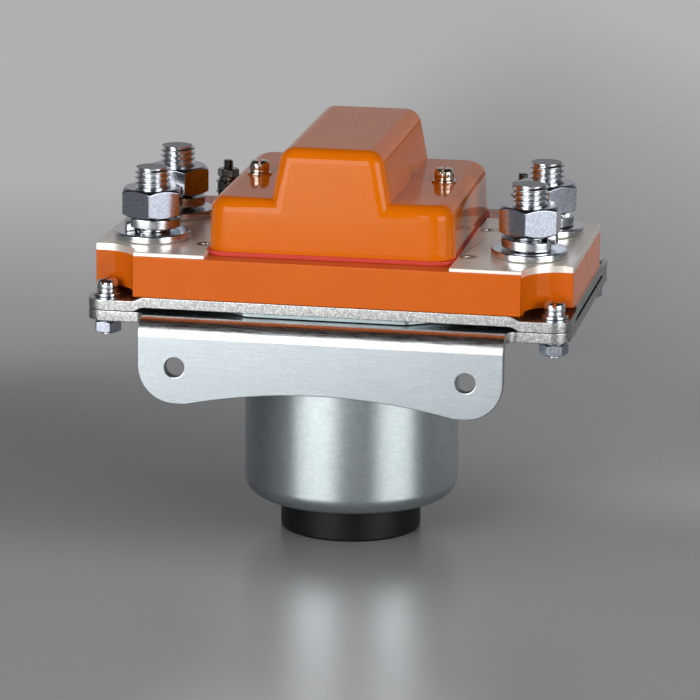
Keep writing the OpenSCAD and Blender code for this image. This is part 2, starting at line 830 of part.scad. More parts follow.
// Steel bracket: a plate under the can's flange, bent down at the front into the mounting flange
module mounting_bracket() {
    run_y = flange_y - bend_r;
    step = run_y - sheet_d / 2;
    color("#ccd1d3") difference() {
        union() {
            translate([0, 0, z_bracket]) linear_extrude(sheet_t) {
                rounded_rect(sheet_w, sheet_d, sheet_r);
                translate([-flange_w / 2, -run_y]) square([flange_w, run_y]);
                both_sides() difference() {
                    translate([flange_w / 2 - cut, -run_y]) square([cut + step, step + cut]);
                    translate([flange_w / 2 + step, -run_y]) circle(step);
                }
            }
            translate([-flange_w / 2, -run_y, z_bracket_top - bend_r]) rotate([90, 0, 90])
                linear_extrude(flange_w) intersection() {
                    difference() {
                        circle(bend_r);
                        circle(bend_r - sheet_t);
                    }
                    translate([-bend_r, 0]) square(bend_r);
                }
            translate([0, sheet_t - flange_y, 0]) rotate([90, 0, 0])
                linear_extrude(sheet_t) flange_outline();
        }
        translate([0, 0, z_bracket - cut])
            cylinder(r = can_d / 2 + can_neck_r + can_hole_gap, h = sheet_t + 2 * cut);
        corner_holes(z_bracket);
        both_sides() translate([mount_pitch / 2, -flange_y - cut, mount_z]) rotate([-90, 0, 0])
            cylinder(d = mount_d, h = sheet_t + 2 * cut);
    }
}

// Drawn steel can round the coil, with a flange that the two plates clamp
module coil_can() {
    r_out = can_d / 2;
    r_in = r_out - can_t;
    floor_r = can_r - can_t;
    color("#b4b9bb") intersection() {
        rotate_extrude($fn = 120) polygon(concat(
            [[core_stud_d / 2 + fit_gap, cap_h]],
            [for (a = [-90:10:0]) [r_out - can_r + can_r * cos(a), cap_h + can_r + can_r * sin(a)]],
            [for (a = [180:-15:90])
                [r_out + can_neck_r * (1 + cos(a)), z_bracket_top - can_neck_r * (1 - sin(a))]],
            [[can_flange_d / 2, z_bracket_top], [can_flange_d / 2, z_yoke], [r_in, z_yoke]],
            [for (a = [0:-10:-90]) [r_out - can_r + floor_r * cos(a), cap_h + can_r + floor_r * sin(a)]],
            [[core_stud_d / 2 + fit_gap, z_can_floor]]
        ));
        translate([-base_w / 2, can_flange_back - sheet_d / 2, 0])
            cube([base_w, sheet_d - 2 * can_flange_back, z_yoke + cut]);
    }
}

// Black end cap over the core's nut, which the contactor stands on
module end_cap() {
    r = cap_d / 2;
    edge = 0.8;
    color("#1b191c") rotate_extrude($fn = 96) polygon([
        [0, 0], [r - edge, 0], [r, edge], [r, cap_h], [r - cap_wall, cap_h],
        [r - cap_wall, cap_wall], [0, cap_wall]
    ]);
}

// Moulded bobbin round the guide tube
module bobbin() {
    color("#e8e4d8") difference() {
        translate([0, 0, bobbin_z]) rotate_extrude() polygon([
            [bobbin_in, 0], [bobbin_flange_r - can_r, 0], [bobbin_foot_r, bobbin_flange / 2],
            [bobbin_foot_r, bobbin_flange], [bobbin_in + bobbin_wall, bobbin_flange],
            [bobbin_in + bobbin_wall, z_winding_top - bobbin_z],
            [bobbin_flange_r, z_winding_top - bobbin_z], [bobbin_flange_r, bobbin_top - bobbin_z],
            [bobbin_in, bobbin_top - bobbin_z]
        ]);
        both_sides() translate([lead_x, lead_y, z_winding_top - cut])
            cylinder(r = lead_hole_r, h = bobbin_flange + 2 * cut);
    }
}

module coil_winding() {
    color("#9a5a28") translate([0, 0, bobbin_z + bobbin_flange])
        ring(bobbin_foot_r, bobbin_in + bobbin_wall, z_winding_top - bobbin_z - bobbin_flange);
}

// Two insulated leads from the winding to the heads of the coil studs
module coil_leads() {
    run = norm([coil_stud_x - lead_x, coil_stud_y - lead_y]);
    turn = atan2(coil_stud_y - lead_y, coil_stud_x - lead_x);
    color("#a02020") both_sides() {
        translate([lead_x, lead_y, z_winding_top]) cylinder(d = lead_d, h = z_lead - z_winding_top);
        translate([lead_x, lead_y, z_lead]) {
            sphere(d = lead_d);
            rotate([0, 0, turn]) rotate([0, 90, 0]) cylinder(d = lead_d, h = run);
        }
    }
}

// Fixed core with a pocket for the return spring and a stud through the can's floor
module fixed_core() {
    stud_end_z = cap_h - core_washer_t - core_nut_h - core_stud_end;
    color("#8d9094") difference() {
        union() {
            translate([0, 0, z_can_floor])
                cylinder(d = plunger_d - 2 * fit_gap, h = core_z - z_can_floor);
            translate([0, 0, stud_end_z]) cylinder(d = core_stud_d, h = z_can_floor - stud_end_z + cut);
        }
        translate([0, 0, core_z - spring_pocket_h])
            cylinder(r = spring_pocket_r, h = spring_pocket_h + cut);
    }
}

module core_washer() {
    color("#c0c4c8") translate([0, 0, cap_h - core_washer_t])
        flat_washer(core_washer_d, core_stud_d + washer_room, core_washer_t);
}

module core_nut() {
    color("#c0c4c8") translate([0, 0, cap_h - core_washer_t - core_nut_h])
        hex_nut(core_nut_af, core_nut_h, core_stud_d + fit_gap);
}

// Brass tube that guides the plunger
module guide_tube() {
    tube_z = z_can_floor + fit_gap;
    color("#c8a24a") translate([0, 0, tube_z]) ring(guide_out, guide_in, z_base - tube_z);
}

// Nylon bush in the base that guides the push rod
module guide_bush() {
    color("#eeeadc") difference() {
        union() {
            translate([0, 0, z_base]) cylinder(r = guide_bush_r, h = base_h);
            translate([0, 0, z_base_top - guide_bush_flange_t])
                cylinder(r = guide_bush_flange_r, h = guide_bush_flange_t);
        }
        translate([0, 0, z_base - cut]) cylinder(d = rod_d + 2 * run_gap, h = base_h + 2 * cut);
    }
}

// Soft washer under the base that the plunger rests against
module stop_washer() {
    color("#3a3a3a") translate([0, 0, z_base - stop_t])
        ring(plunger_d / 2 - stop_gap, rod_d / 2 + 2 * stop_gap, stop_t);
}

module return_spring() {
    z = core_z - spring_pocket_h;
    h = z_plunger + spring_pocket_h - z;
    color("#9aa0a6") translate([0, 0, z])
        compression_spring(spring_pocket_r - spring_gap, return_wire_d, h, return_turns);
}

// Plunger that the coil pulls down, with a pocket for the return spring
module plunger() {
    color("#84888d") difference() {
        translate([0, 0, z_plunger]) cylinder(d = plunger_d, h = z_plunger_top - z_plunger);
        translate([0, 0, z_plunger - cut]) cylinder(r = spring_pocket_r, h = spring_pocket_h + cut);
        translate([0, 0, z_plunger_top - rod_depth]) cylinder(d = rod_d + fit_gap, h = rod_depth + cut);
    }
}

// Push rod with the collar that carries the insulating bush
module push_rod() {
    foot = z_plunger_top - rod_depth;
    collar_z = z_bridge - bush_flange_t - rod_collar_t;
    color("#b8bcc0") {
        translate([0, 0, foot]) cylinder(d = rod_d, h = z_rod_top - foot);
        translate([0, 0, collar_z]) cylinder(r = rod_collar_r, h = rod_collar_t);
    }
}

module insulating_bush() {
    sleeve = bush_flange_t + bridge_t + overtravel + bush_end;
    color("#e9dfc4") translate([0, 0, z_bridge - bush_flange_t]) difference() {
        union() {
            cylinder(r = bush_flange_r, h = bush_flange_t);
            cylinder(r = bush_sleeve_r, h = sleeve);
        }
        translate([0, 0, -cut]) cylinder(d = rod_d + fit_gap, h = sleeve + 2 * cut);
    }
}

module spring_cup() {
    color("#a7abb0") translate([0, 0, z_spring_cup])
        ring(spring_cup_r, rod_d / 2 + fit_gap / 2, spring_cup_t);
}

module rod_nut() {
    color("#c0c4c8") translate([0, 0, z_spring_cup + spring_cup_t])
        hex_nut(rod_nut_af, rod_nut_h, rod_d + fit_gap);
}

module contact_spring() {
    color("#9aa0a6") translate([0, 0, z_contact_spring])
        compression_spring(spring_cup_r - spring_gap, contact_wire_d, contact_spring_h, contact_turns);
}

// Copper bridge that closes the circuit between the two fixed tips
module contact_bridge() {
    half = tip_x + bridge_end;
    corner_r = 3;
    color("#b86a3c") difference() {
        translate([0, 0, z_bridge]) linear_extrude(bridge_t) rounded_rect(2 * half, bridge_w, corner_r);
        translate([0, 0, z_bridge - cut]) cylinder(r = bush_sleeve_r + run_gap, h = bridge_t + 2 * cut);
    }
}

module moving_tips() {
    color("#d9d9d6") both_sides() translate([tip_x, 0, z_moving_tip]) cylinder(d = tip_d, h = moving_tip_t);
}

module insulating_washer() {
    color("#e9dfc4") translate([0, 0, z_bridge + bridge_t])
        ring(insulating_washer_r, bush_sleeve_r + run_gap, insulating_washer_t);
}

cover();
cover_gasket();
base();
mirror([1, 0, 0]) terminal_plate();  // terminal_plate_left
terminal_plate();  // terminal_plate_right
fixed_tips();
terminal_stud(-stud_x, stud_ys[0]);  // terminal_stud_left_front
terminal_stud(-stud_x, stud_ys[1]);  // terminal_stud_left_rear
terminal_stud(stud_x, stud_ys[0]);  // terminal_stud_right_front
terminal_stud(stud_x, stud_ys[1]);  // terminal_stud_right_rear
terminal_nut(-stud_x, stud_ys[0], nut_turn_left[0]);  // terminal_nut_left_front
terminal_nut(-stud_x, stud_ys[1], nut_turn_left[1]);  // terminal_nut_left_rear
terminal_nut(stud_x, stud_ys[0], nut_turn_right[0]);  // terminal_nut_right_front
terminal_nut(stud_x, stud_ys[1], nut_turn_right[1]);  // terminal_nut_right_rear
terminal_spring_washer(-stud_x, stud_ys[0], washer_turn_left[0]);  // terminal_spring_washer_left_front
terminal_spring_washer(-stud_x, stud_ys[1], washer_turn_left[1]);  // terminal_spring_washer_left_rear
terminal_spring_washer(stud_x, stud_ys[0], washer_turn_right[0]);  // terminal_spring_washer_right_front
terminal_spring_washer(stud_x, stud_ys[1], washer_turn_right[1]);  // terminal_spring_washer_right_rear
terminal_washer(-stud_x, stud_ys[0]);  // terminal_washer_left_front
terminal_washer(-stud_x, stud_ys[1]);  // terminal_washer_left_rear
terminal_washer(stud_x, stud_ys[0]);  // terminal_washer_right_front
terminal_washer(stud_x, stud_ys[1]);  // terminal_washer_right_rear
plate_screws();
cover_screws();
cover_spring_washers();
cover_washers();
corner_screws();
corner_spring_washers();
corner_washers();
corner_lower_spring_washers();
corner_nuts();
mirror([1, 0, 0]) coil_stud();  // coil_stud_left
coil_stud();  // coil_stud_right
coil_stud_nuts();
coil_stud_washers();
coil_stud_spring_washers();
yoke_plate();
mounting_bracket();
coil_can();
end_cap();
bobbin();
coil_winding();
coil_leads();
fixed_core();
core_nut();
core_washer();
guide_tube();
guide_bush();
stop_washer();
return_spring();
plunger();
push_rod();
insulating_bush();
spring_cup();
rod_nut();
contact_spring();
contact_bridge();
moving_tips();
insulating_washer();
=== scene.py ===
"""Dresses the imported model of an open-type DC contactor for a studio picture.

Each class holds one sub-assembly with its sizes in millimetres. It builds what needs more form
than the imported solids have, such as threads, moulded radii and rolled edges, and gives every
piece the finish of its real material.
"""

import functools
import json
import logging
import math
from collections.abc import Callable
from dataclasses import dataclass, field
from enum import Enum

import bmesh
import bpy
from bmesh.types import BMEdge, BMesh, BMFace, BMVert
from bpy.types import Material, Node, NodeSocket, NodeTree, Object
from mathutils import Matrix, Vector

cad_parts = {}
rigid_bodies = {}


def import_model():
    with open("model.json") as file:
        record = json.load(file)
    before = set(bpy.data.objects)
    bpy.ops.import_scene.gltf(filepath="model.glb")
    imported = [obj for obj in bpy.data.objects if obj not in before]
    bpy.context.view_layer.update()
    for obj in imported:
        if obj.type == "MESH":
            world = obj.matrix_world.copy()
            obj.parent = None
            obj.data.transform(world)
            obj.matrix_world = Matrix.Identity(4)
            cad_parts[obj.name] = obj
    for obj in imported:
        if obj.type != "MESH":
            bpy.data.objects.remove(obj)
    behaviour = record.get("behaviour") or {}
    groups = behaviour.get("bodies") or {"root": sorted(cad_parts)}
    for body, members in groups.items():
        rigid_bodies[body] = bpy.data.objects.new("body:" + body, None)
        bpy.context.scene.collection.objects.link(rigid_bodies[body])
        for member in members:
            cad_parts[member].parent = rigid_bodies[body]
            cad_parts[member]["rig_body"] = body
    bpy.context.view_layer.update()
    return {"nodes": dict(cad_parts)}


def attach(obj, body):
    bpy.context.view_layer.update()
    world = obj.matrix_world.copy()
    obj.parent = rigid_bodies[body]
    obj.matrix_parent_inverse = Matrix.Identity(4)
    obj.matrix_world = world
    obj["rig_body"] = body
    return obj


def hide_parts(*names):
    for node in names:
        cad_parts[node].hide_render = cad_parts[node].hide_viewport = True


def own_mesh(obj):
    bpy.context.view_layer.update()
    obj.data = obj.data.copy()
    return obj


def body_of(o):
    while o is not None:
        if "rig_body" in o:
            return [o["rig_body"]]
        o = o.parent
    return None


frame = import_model()

LOG = logging.getLogger("contactor")
MM = 0.001
MICRON = 0.000001
# Distances in millimetres at which two points count as one, in a new mesh and in a packed one
WELD = 0.0005
PACKED_WELD = 0.002
# Distance in millimetres within which a point counts as lying on a line or a plane
NEAR = 0.01
# Turns in degrees up to which two faces count as one, and above which an edge counts as sharp
FLAT = 0.5
SHARP = 28
# Rounding in millimetres of the edges of small screws and washers
SMALL_EDGE = 0.12
# Turn in degrees above which an edge of a threaded stud is drawn sharp
THREAD_CREASE = 22
# Depth of an ISO thread with a pitch of one
THREAD_DEPTH = 0.6134
SIDES = (("left", -1), ("right", 1))
# Directions on the floor
RIGHT = (1.0, 0.0)
BACK = (0.0, 1.0)

EdgeRule = Callable[[BMEdge], bool]
FaceRule = Callable[[BMFace], bool]
Pair = tuple[float, float]
Profile = tuple[Pair, ...]
Tone = str | NodeSocket
Point = tuple[float, float, float]


# Finishes


def linear(code: str) -> tuple[float, float, float, float]:
    """Turn an sRGB hex colour into linear red, green and blue, with an alpha of one."""
    channels = [int(code[i:i + 2], 16) / 255 for i in (1, 3, 5)]
    return *(c / 12.92 if c <= 0.04045 else ((c + 0.055) / 1.055) ** 2.4 for c in channels), 1.0


def per_metre(size_mm: float) -> float:
    """Return the texture scale at which one feature of a pattern measures size_mm."""
    return 1 / (size_mm * MM)


def add(tree: NodeTree, kind: str, inputs: dict | None = None, **settings: object) -> Node:
    """Add one node with its settings, socket values and links.

    Args:
        tree: The node tree that takes the node.
        kind: The node's type name, less the prefix that all shader nodes share.
        inputs: Socket name or index to a value, or to another node's output.
        **settings: Attributes of the node itself.

    Returns:
        The new node.
    """
    node = tree.nodes.new(f"ShaderNode{kind}")
    for key, value in settings.items():
        setattr(node, key, value)
    for key, value in (inputs or {}).items():
        if isinstance(value, NodeSocket):
            tree.links.new(value, node.inputs[key])
        else:
            node.inputs[key].default_value = value
    return node


def node_material(name: str) -> tuple[Material, NodeTree, Node]:
    """Start a material and return it with its node tree and its surface shader."""
    material = bpy.data.materials.new(name)
    material.use_nodes = True
    return material, material.node_tree, material.node_tree.nodes["Principled BSDF"]


def linked(name: str, data: bpy.types.ID) -> Object:
    """Put an object with mesh, lamp or camera data into the scene and return it."""
    made = bpy.data.objects.new(name, data)
    bpy.context.scene.collection.objects.link(made)
    return made


def rise(tree: NodeTree, value: NodeSocket, span: Pair, smooth: bool = True) -> NodeSocket:
    """Rise from zero to one while a value crosses a span, smoothly or straight."""
    return add(tree, "MapRange", {
        "Value": value, "From Min": span[0], "From Max": span[1]},
        interpolation_type="SMOOTHSTEP" if smooth else "LINEAR").outputs["Result"]


def blend(tree: NodeTree, share: NodeSocket, low: Tone, high: Tone) -> NodeSocket:
    """Mix two tones, each a hex colour or a socket, by the share of the second."""
    low, high = (linear(tone) if isinstance(tone, str) else tone for tone in (low, high))
    return add(tree, "Mix", {0: share, 6: low, 7: high}, data_type="RGBA").outputs[2]


def combined(tree: NodeTree, a: NodeSocket, b: NodeSocket, operation: str) -> NodeSocket:
    """Return the result of a math node on two values."""
    return add(tree, "Math", {0: a, 1: b}, operation=operation).outputs[0]


class Lay(Enum):
    """Direction of the fine lines that the making of a surface leaves on it."""

    EVEN = (1.0, 1.0, 1.0)
    ROLLED = (0.06, 1.0, 1.0)
    DRAWN = (1.0, 1.0, 0.05)
    TURNED = (0.4, 0.4, 1.0)


@dataclass(frozen=True)
class Finish:
    """Surface of one real material, with its patterns in real sizes."""

    name: str
    colour: str
    shade: str
    cloud_mm: float
    roughness: float
    spread: float
    grain_mm: float
    grain_um: float
    metallic: float = 0.0
    lay: Lay = Lay.EVEN
    wave_mm: float = 12.0
    wave_um: float = 0.0
    ior: float = 1.5
    fleck: float = 0.0

    @functools.cache
    def material(self) -> Material:
        """Build the node material once.

        Returns:
            The material, shared by every piece of this finish.
        """
        material, tree, shader = node_material(self.name)
        material.diffuse_color = linear(self.colour)
        place = add(tree, "TexCoord").outputs["Object"]
        along = add(tree, "Mapping", {
            "Vector": place, "Scale": self.lay.value}).outputs["Vector"]
        cloud = add(tree, "TexNoise", {
            "Vector": place, "Scale": per_metre(self.cloud_mm), "Detail": 4.0, "Roughness": 0.55})
        grain = add(tree, "TexNoise", {
            "Vector": along, "Scale": per_metre(self.grain_mm), "Detail": 3.0, "Roughness": 0.6})
        base = blend(tree, cloud.outputs["Fac"], self.colour, self.shade)
        if self.fleck:
            cells = add(tree, "TexVoronoi", {
                "Vector": along, "Scale": per_metre(self.grain_mm * 2)})
            lift = add(tree, "MapRange", {
                "Value": cells.outputs["Distance"], "From Min": 0.1, "From Max": 0.6,
                "To Min": self.fleck, "To Max": 0.0})
            base = blend(tree, lift.outputs["Result"], base, "#ffffff")
        gloss = add(tree, "MapRange", {
            "Value": grain.outputs["Fac"], "From Min": 0.3, "From Max": 0.7,
            "To Min": self.roughness - self.spread, "To Max": self.roughness + self.spread})
        bump = add(tree, "Bump", {
            "Height": grain.outputs["Fac"], "Distance": self.grain_um * MICRON})
        if self.wave_um:
            wave = add(tree, "TexNoise", {
                "Vector": place, "Scale": per_metre(self.wave_mm), "Detail": 1.0})
            bump = add(tree, "Bump", {
                "Height": wave.outputs["Fac"], "Distance": self.wave_um * MICRON,
                "Normal": bump.outputs["Normal"]})
        tree.links.new(base, shader.inputs["Base Color"])
        tree.links.new(gloss.outputs["Result"], shader.inputs["Roughness"])
        tree.links.new(bump.outputs["Normal"], shader.inputs["Normal"])
        shader.inputs["Metallic"].default_value = self.metallic
        shader.inputs["IOR"].default_value = self.ior
        return material


Metal = functools.partial(Finish, metallic=1.0)

# Thermoset polyester moulding: glossy from the polished mould, with faint flow clouding
COVER_PLASTIC = Finish(
    "moulded_polyester_cover", "#cc6604", "#c45e02", 14, 0.09, 0.02, 0.5, 0.4,
    wave_mm=16, wave_um=14, ior=1.3)
BASE_PLASTIC = Finish(
    "moulded_polyester_base", "#c65c06", "#bc5404", 11, 0.15, 0.03, 0.5, 0.8,
    wave_mm=14, wave_um=16, ior=1.26)
# Silicone rubber cut from sheet: soft sheen, no metal
GASKET_RUBBER = Finish("silicone_rubber_red", "#c63420", "#b62a18", 6, 0.5, 0.06, 0.4, 6)
# Silver-plated copper bar, warm where the plating is thin, and matt enough to scatter some light
SILVERED_COPPER = Finish(
    "silver_plated_copper", "#f4ece2", "#ece2d6", 9, 0.32, 0.05, 0.35, 0.7, metallic=0.66,
    lay=Lay.ROLLED, wave_mm=12, wave_um=4)
# Bright zinc on turned and pressed steel fasteners
ZINC_NUT = Metal("bright_zinc_plated_nut", "#b8bbc0", "#8c97ae", 0.8, 0.12, 0.05, 0.3, 5, fleck=0.3)
ZINC_STUD = Metal("bright_zinc_plated_stud", "#dcdfe2", "#cfd3d8", 3, 0.2, 0.05, 0.3, 1.5)
STUD_END = Metal("sawn_stud_end", "#a6a8aa", "#96989a", 2, 0.36, 0.05, 0.25, 2)
ZINC_WASHER = Metal("bright_zinc_plated_washer", "#dde0e3", "#ced2d6", 4, 0.2, 0.05, 0.3, 1.2)
ZINC_SPRING = Metal("zinc_plated_spring_steel", "#c4c8cd", "#b4b9c0", 3, 0.26, 0.07, 0.25, 2)
# Nickel and tin plate, brighter and warmer than the zinc
NICKEL_SCREW = Metal("nickel_plated_brass_screw", "#e0d6c8", "#d4c6b4", 3, 0.14, 0.04, 0.3, 1)
TIN_SCREW = Metal("tin_plated_plate_screw", "#ccc8c2", "#bab6b0", 2, 0.14, 0.05, 0.25, 2)
# Rolled sheet with a bluish zinc coat: satin faces, and grainy sheared edges
ZINC_SHEET = Metal(
    "zinc_plated_rolled_sheet", "#b0b6ba", "#a6afb4", 16, 0.26, 0.025, 0.3, 1.4,
    lay=Lay.ROLLED, wave_mm=20, wave_um=20, fleck=0.04)
BENT_SHEET = Metal(
    "zinc_plated_bend", "#d2d3d4", "#b0b2b6", 2, 0.3, 0.1, 0.4, 24, lay=Lay.ROLLED, fleck=0.2)
SHEARED_EDGE = Metal(
    "zinc_plated_sheared_edge", "#bebebc", "#6e6f6e", 0.6, 0.36, 0.18, 0.35, 44, fleck=0.35)
# Deep-drawn zinc-plated can: satin with the fine frosted grain of barrel plating
DRAWN_CAN = Metal(
    "zinc_plated_drawn_can", "#c8d1d3", "#b6c1c4", 3, 0.3, 0.022, 0.4, 1.8,
    lay=Lay.TURNED, wave_mm=14, wave_um=30, fleck=0.16)
# Bare steel where the can's flange was blanked: dark and rough
CUT_FLANGE = Metal(
    "blanked_flange_edge", "#a4afb0", "#7a878a", 1, 0.4, 0.1, 0.4, 30, lay=Lay.ROLLED)
# Nylon with black filler, matt from a fine spark-eroded mould
CAP_NYLON = Finish("moulded_black_nylon", "#0d0c0e", "#090809", 5, 0.46, 0.06, 0.35, 6, ior=1.34)
# Dull, slightly yellow zinc on the thin coil studs
COIL_STUD_ZINC = Metal("zinc_plated_coil_stud", "#94948f", "#72726e", 2, 0.16, 0.06, 0.25, 1.5)
# Sealed pieces of the magnet and the contacts
NATURAL_NYLON = Finish("natural_nylon", "#e6e0d2", "#dcd4c2", 7, 0.42, 0.06, 0.4, 4)
ENAMELLED_WIRE = Finish("enamelled_copper_wire", "#a05a24", "#7e4218", 3, 0.3, 0.1, 0.5, 60)
LEAD_PVC = Finish("red_wire_insulation", "#a02a20", "#8c2018", 4, 0.4, 0.05, 0.4, 3)
MACHINED_IRON = Metal("machined_soft_iron", "#90949a", "#7e8288", 5, 0.34, 0.08, 0.3, 3)
DRAWN_BRASS = Metal("drawn_brass_tube", "#cfae5c", "#bd9a48", 6, 0.26, 0.06, 0.3, 2, lay=Lay.DRAWN)
SPRING_WIRE = Metal("phosphated_spring_wire", "#9aa0a6", "#858b92", 2, 0.32, 0.08, 0.3, 3)
BARE_COPPER = Metal(
    "rolled_bare_copper", "#c77a4c", "#b3683c", 6, 0.3, 0.08, 0.3, 2, lay=Lay.ROLLED)
CONTACT_SILVER = Metal("sintered_contact_silver", "#dededa", "#cfcfca", 3, 0.36, 0.08, 0.3, 5)
PHENOLIC = Finish("moulded_phenolic_bush", "#e0d4b4", "#d0c29c", 4, 0.4, 0.07, 0.4, 5)
STOP_RUBBER = Finish("nitrile_rubber", "#2c2c2e", "#222224", 4, 0.6, 0.06, 0.4, 8)


Dressing = tuple[tuple[Finish, FaceRule], ...]


# Mesh tools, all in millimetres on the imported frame's axes


def from_node(node: str) -> BMesh:
    """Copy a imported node's mesh, merged into clean faces.

    Args:
        node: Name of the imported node.

    Returns:
        The mesh in millimetres, with flat areas dissolved into single faces.
    """
    mesh = bmesh.new()
    mesh.from_mesh(frame["nodes"][node].data)
    bmesh.ops.scale(mesh, vec=Vector((1, 1, 1)) / MM, verts=mesh.verts)
    bmesh.ops.remove_doubles(mesh, verts=mesh.verts, dist=PACKED_WELD)
    bmesh.ops.dissolve_limit(
        mesh, angle_limit=math.radians(FLAT), verts=mesh.verts, edges=mesh.edges,
        delimit={"NORMAL"})
    return mesh


def fill_openings(mesh: BMesh) -> None:
    """Close every open outline of a mesh with a face."""
    bmesh.ops.holes_fill(mesh, edges=[e for e in mesh.edges if e.is_boundary], sides=0)


def trim(mesh: BMesh, point: Point, away: Point) -> None:
    """Cut a mesh with the plane through a point and drop what lies beyond, leaving it open."""
    bmesh.ops.bisect_plane(
        mesh, geom=mesh.verts[:] + mesh.edges[:] + mesh.faces[:], dist=0.0001,
        plane_co=point, plane_no=away, clear_outer=True)


def close_up(mesh: BMesh) -> BMesh:
    """Merge doubles, close open ends and turn the faces outwards.

    Args:
        mesh: The mesh to finish.

    Returns:
        The same mesh.
    """
    bmesh.ops.remove_doubles(mesh, verts=mesh.verts, dist=WELD)
    fill_openings(mesh)
    bmesh.ops.recalc_face_normals(mesh, faces=mesh.faces)
    return mesh


def outline(profile: Profile, closed: bool) -> BMesh:
    """Start a mesh with one line through radius and height pairs, in the XZ plane.

    Args:
        profile: Pairs of radius and height.
        closed: Whether the last point joins the first.

    Returns:
        A mesh that holds only the line.
    """
    mesh = bmesh.new()
    points = [mesh.verts.new((r, 0, z)) for r, z in profile]
    ends = points[1:] + points[:1] if closed else points[1:]
    for a, b in zip(points, ends):
        mesh.edges.new((a, b))
    return mesh


def turned(profile: Profile, closed: bool = True, steps: int = 96) -> BMesh:
    """Turn a profile round the Z axis.

    Args:
        profile: Pairs of radius and height.
        closed: Whether the profile is a ring of its own, and not a line that ends on the axis.
        steps: Number of steps in the full turn.

    Returns:
        A closed mesh.
    """
    mesh = outline(profile, closed)
    bmesh.ops.spin(
        mesh, geom=mesh.verts[:] + mesh.edges[:], cent=(0, 0, 0), axis=(0, 0, 1),
        angle=math.tau, steps=steps, use_merge=True)
    return close_up(mesh)


def ring_edges(mesh: BMesh, r: float, z: float) -> list[BMEdge]:
    """Return the edges of the ring round Z at one radius and height."""
    ring = {v for v in mesh.verts if abs(v.co.xy.length - r) < NEAR and abs(v.co.z - z) < NEAR}
    return [e for e in mesh.edges if ring.issuperset(e.verts)]


def sharp_edges(
        mesh: BMesh, degrees: float = SHARP, rule: EdgeRule | None = None) -> list[BMEdge]:
    """Return the edges between faces that turn by more than some degrees, and pass the rule."""
    return [e for e in mesh.edges if len(e.link_faces) == 2
            and e.calc_face_angle(0) > math.radians(degrees) and (rule is None or rule(e))]


def round_off(mesh: BMesh, edges: list[BMEdge], radius: float, segments: int = 2) -> None:
    """Round edges off, with a number of faces across each rounding."""
    bmesh.ops.bevel(
        mesh, geom=edges, offset=radius, offset_type="OFFSET", segments=segments, profile=0.5,
        affect="EDGES", clamp_overlap=False, material=-1)


def helix(section: BMesh, runs: tuple[tuple[float, float, int], ...]) -> BMesh:
    """Sweep a section along a helix made of runs of different pitch.

    Args:
        section: A closed line in the XZ plane.
        runs: For each run, its turns, the rise over the run, and its steps. Negative turns run
            clockwise seen from above.

    Returns:
        The closed coil.
    """
    last = section.verts[:] + section.edges[:]
    for turns, rise, steps in runs:
        made = bmesh.ops.spin(
            section, geom=last, cent=(0, 0, 0), axis=(0, 0, 1), dvec=(0, 0, rise / steps),
            angle=math.tau * turns, steps=steps, use_merge=False)
        last = made["geom_last"]
    return close_up(section)


def threaded(
        d: float, pitch: float, z_low: float, z_high: float, chamfer: float,
        steps: int = 40) -> BMesh:
    """Cut a right-hand metric thread on a rod that stands on the origin's axis.

    Args:
        d: Outer diameter of the thread.
        pitch: Rise of the thread in a turn.
        z_low: Height of the lower end.
        z_high: Height of the upper end.
        chamfer: Height of the chamfer at the upper end.
        steps: Number of steps in a turn.

    Returns:
        The closed rod.
    """
    crest = d / 2
    root = crest - THREAD_DEPTH * pitch
    flank = ((root, 0), (root, 0.125), (crest, 0.44), (crest, 0.56), (root, 0.875), (root, 1))
    turns = math.ceil((z_high - z_low) / pitch) + 2
    mesh = outline(tuple((r, z_low + (z - 1) * pitch) for r, z in flank), closed=False)
    bmesh.ops.spin(
        mesh, geom=mesh.verts[:] + mesh.edges[:], cent=(0, 0, 0), axis=(0, 0, 1),
        dvec=(0, 0, pitch / steps), angle=math.tau * turns, steps=steps * turns, use_merge=False)
    bmesh.ops.remove_doubles(mesh, verts=mesh.verts, dist=WELD)
    start = z_high - chamfer
    for vert in mesh.verts:
        reach = crest - max(vert.co.z - start, 0)
        r = math.hypot(vert.co.x, vert.co.y)
        if r > reach:
            vert.co.x *= reach / r
            vert.co.y *= reach / r
    trim(mesh, (0, 0, z_low), (0, 0, -1))
    trim(mesh, (0, 0, z_high), (0, 0, 1))
    return close_up(mesh)


def moved(mesh: BMesh, x: float = 0, y: float = 0, z: float = 0, turn: float = 0) -> BMesh:
    """Turn a mesh about Z by some degrees, then move it, and return it."""
    bmesh.ops.transform(mesh, matrix=placed(x, y, z, turn), verts=mesh.verts)
    return mesh


def placed(x: float = 0, y: float = 0, z: float = 0, turn: float = 0) -> Matrix:
    """Return the matrix of a turn about Z in degrees with a move after it."""
    return Matrix.Translation((x, y, z)) @ Matrix.Rotation(math.radians(turn), 4, "Z")


def joined(*parts: BMesh) -> BMesh:
    """Put several meshes into one.

    Args:
        *parts: The meshes, which are freed.

    Returns:
        A mesh with all of them.
    """
    whole = bmesh.new()
    for part in parts:
        data = bpy.data.meshes.new("part")
        part.to_mesh(data)
        part.free()
        whole.from_mesh(data)
        bpy.data.meshes.remove(data)
    return whole


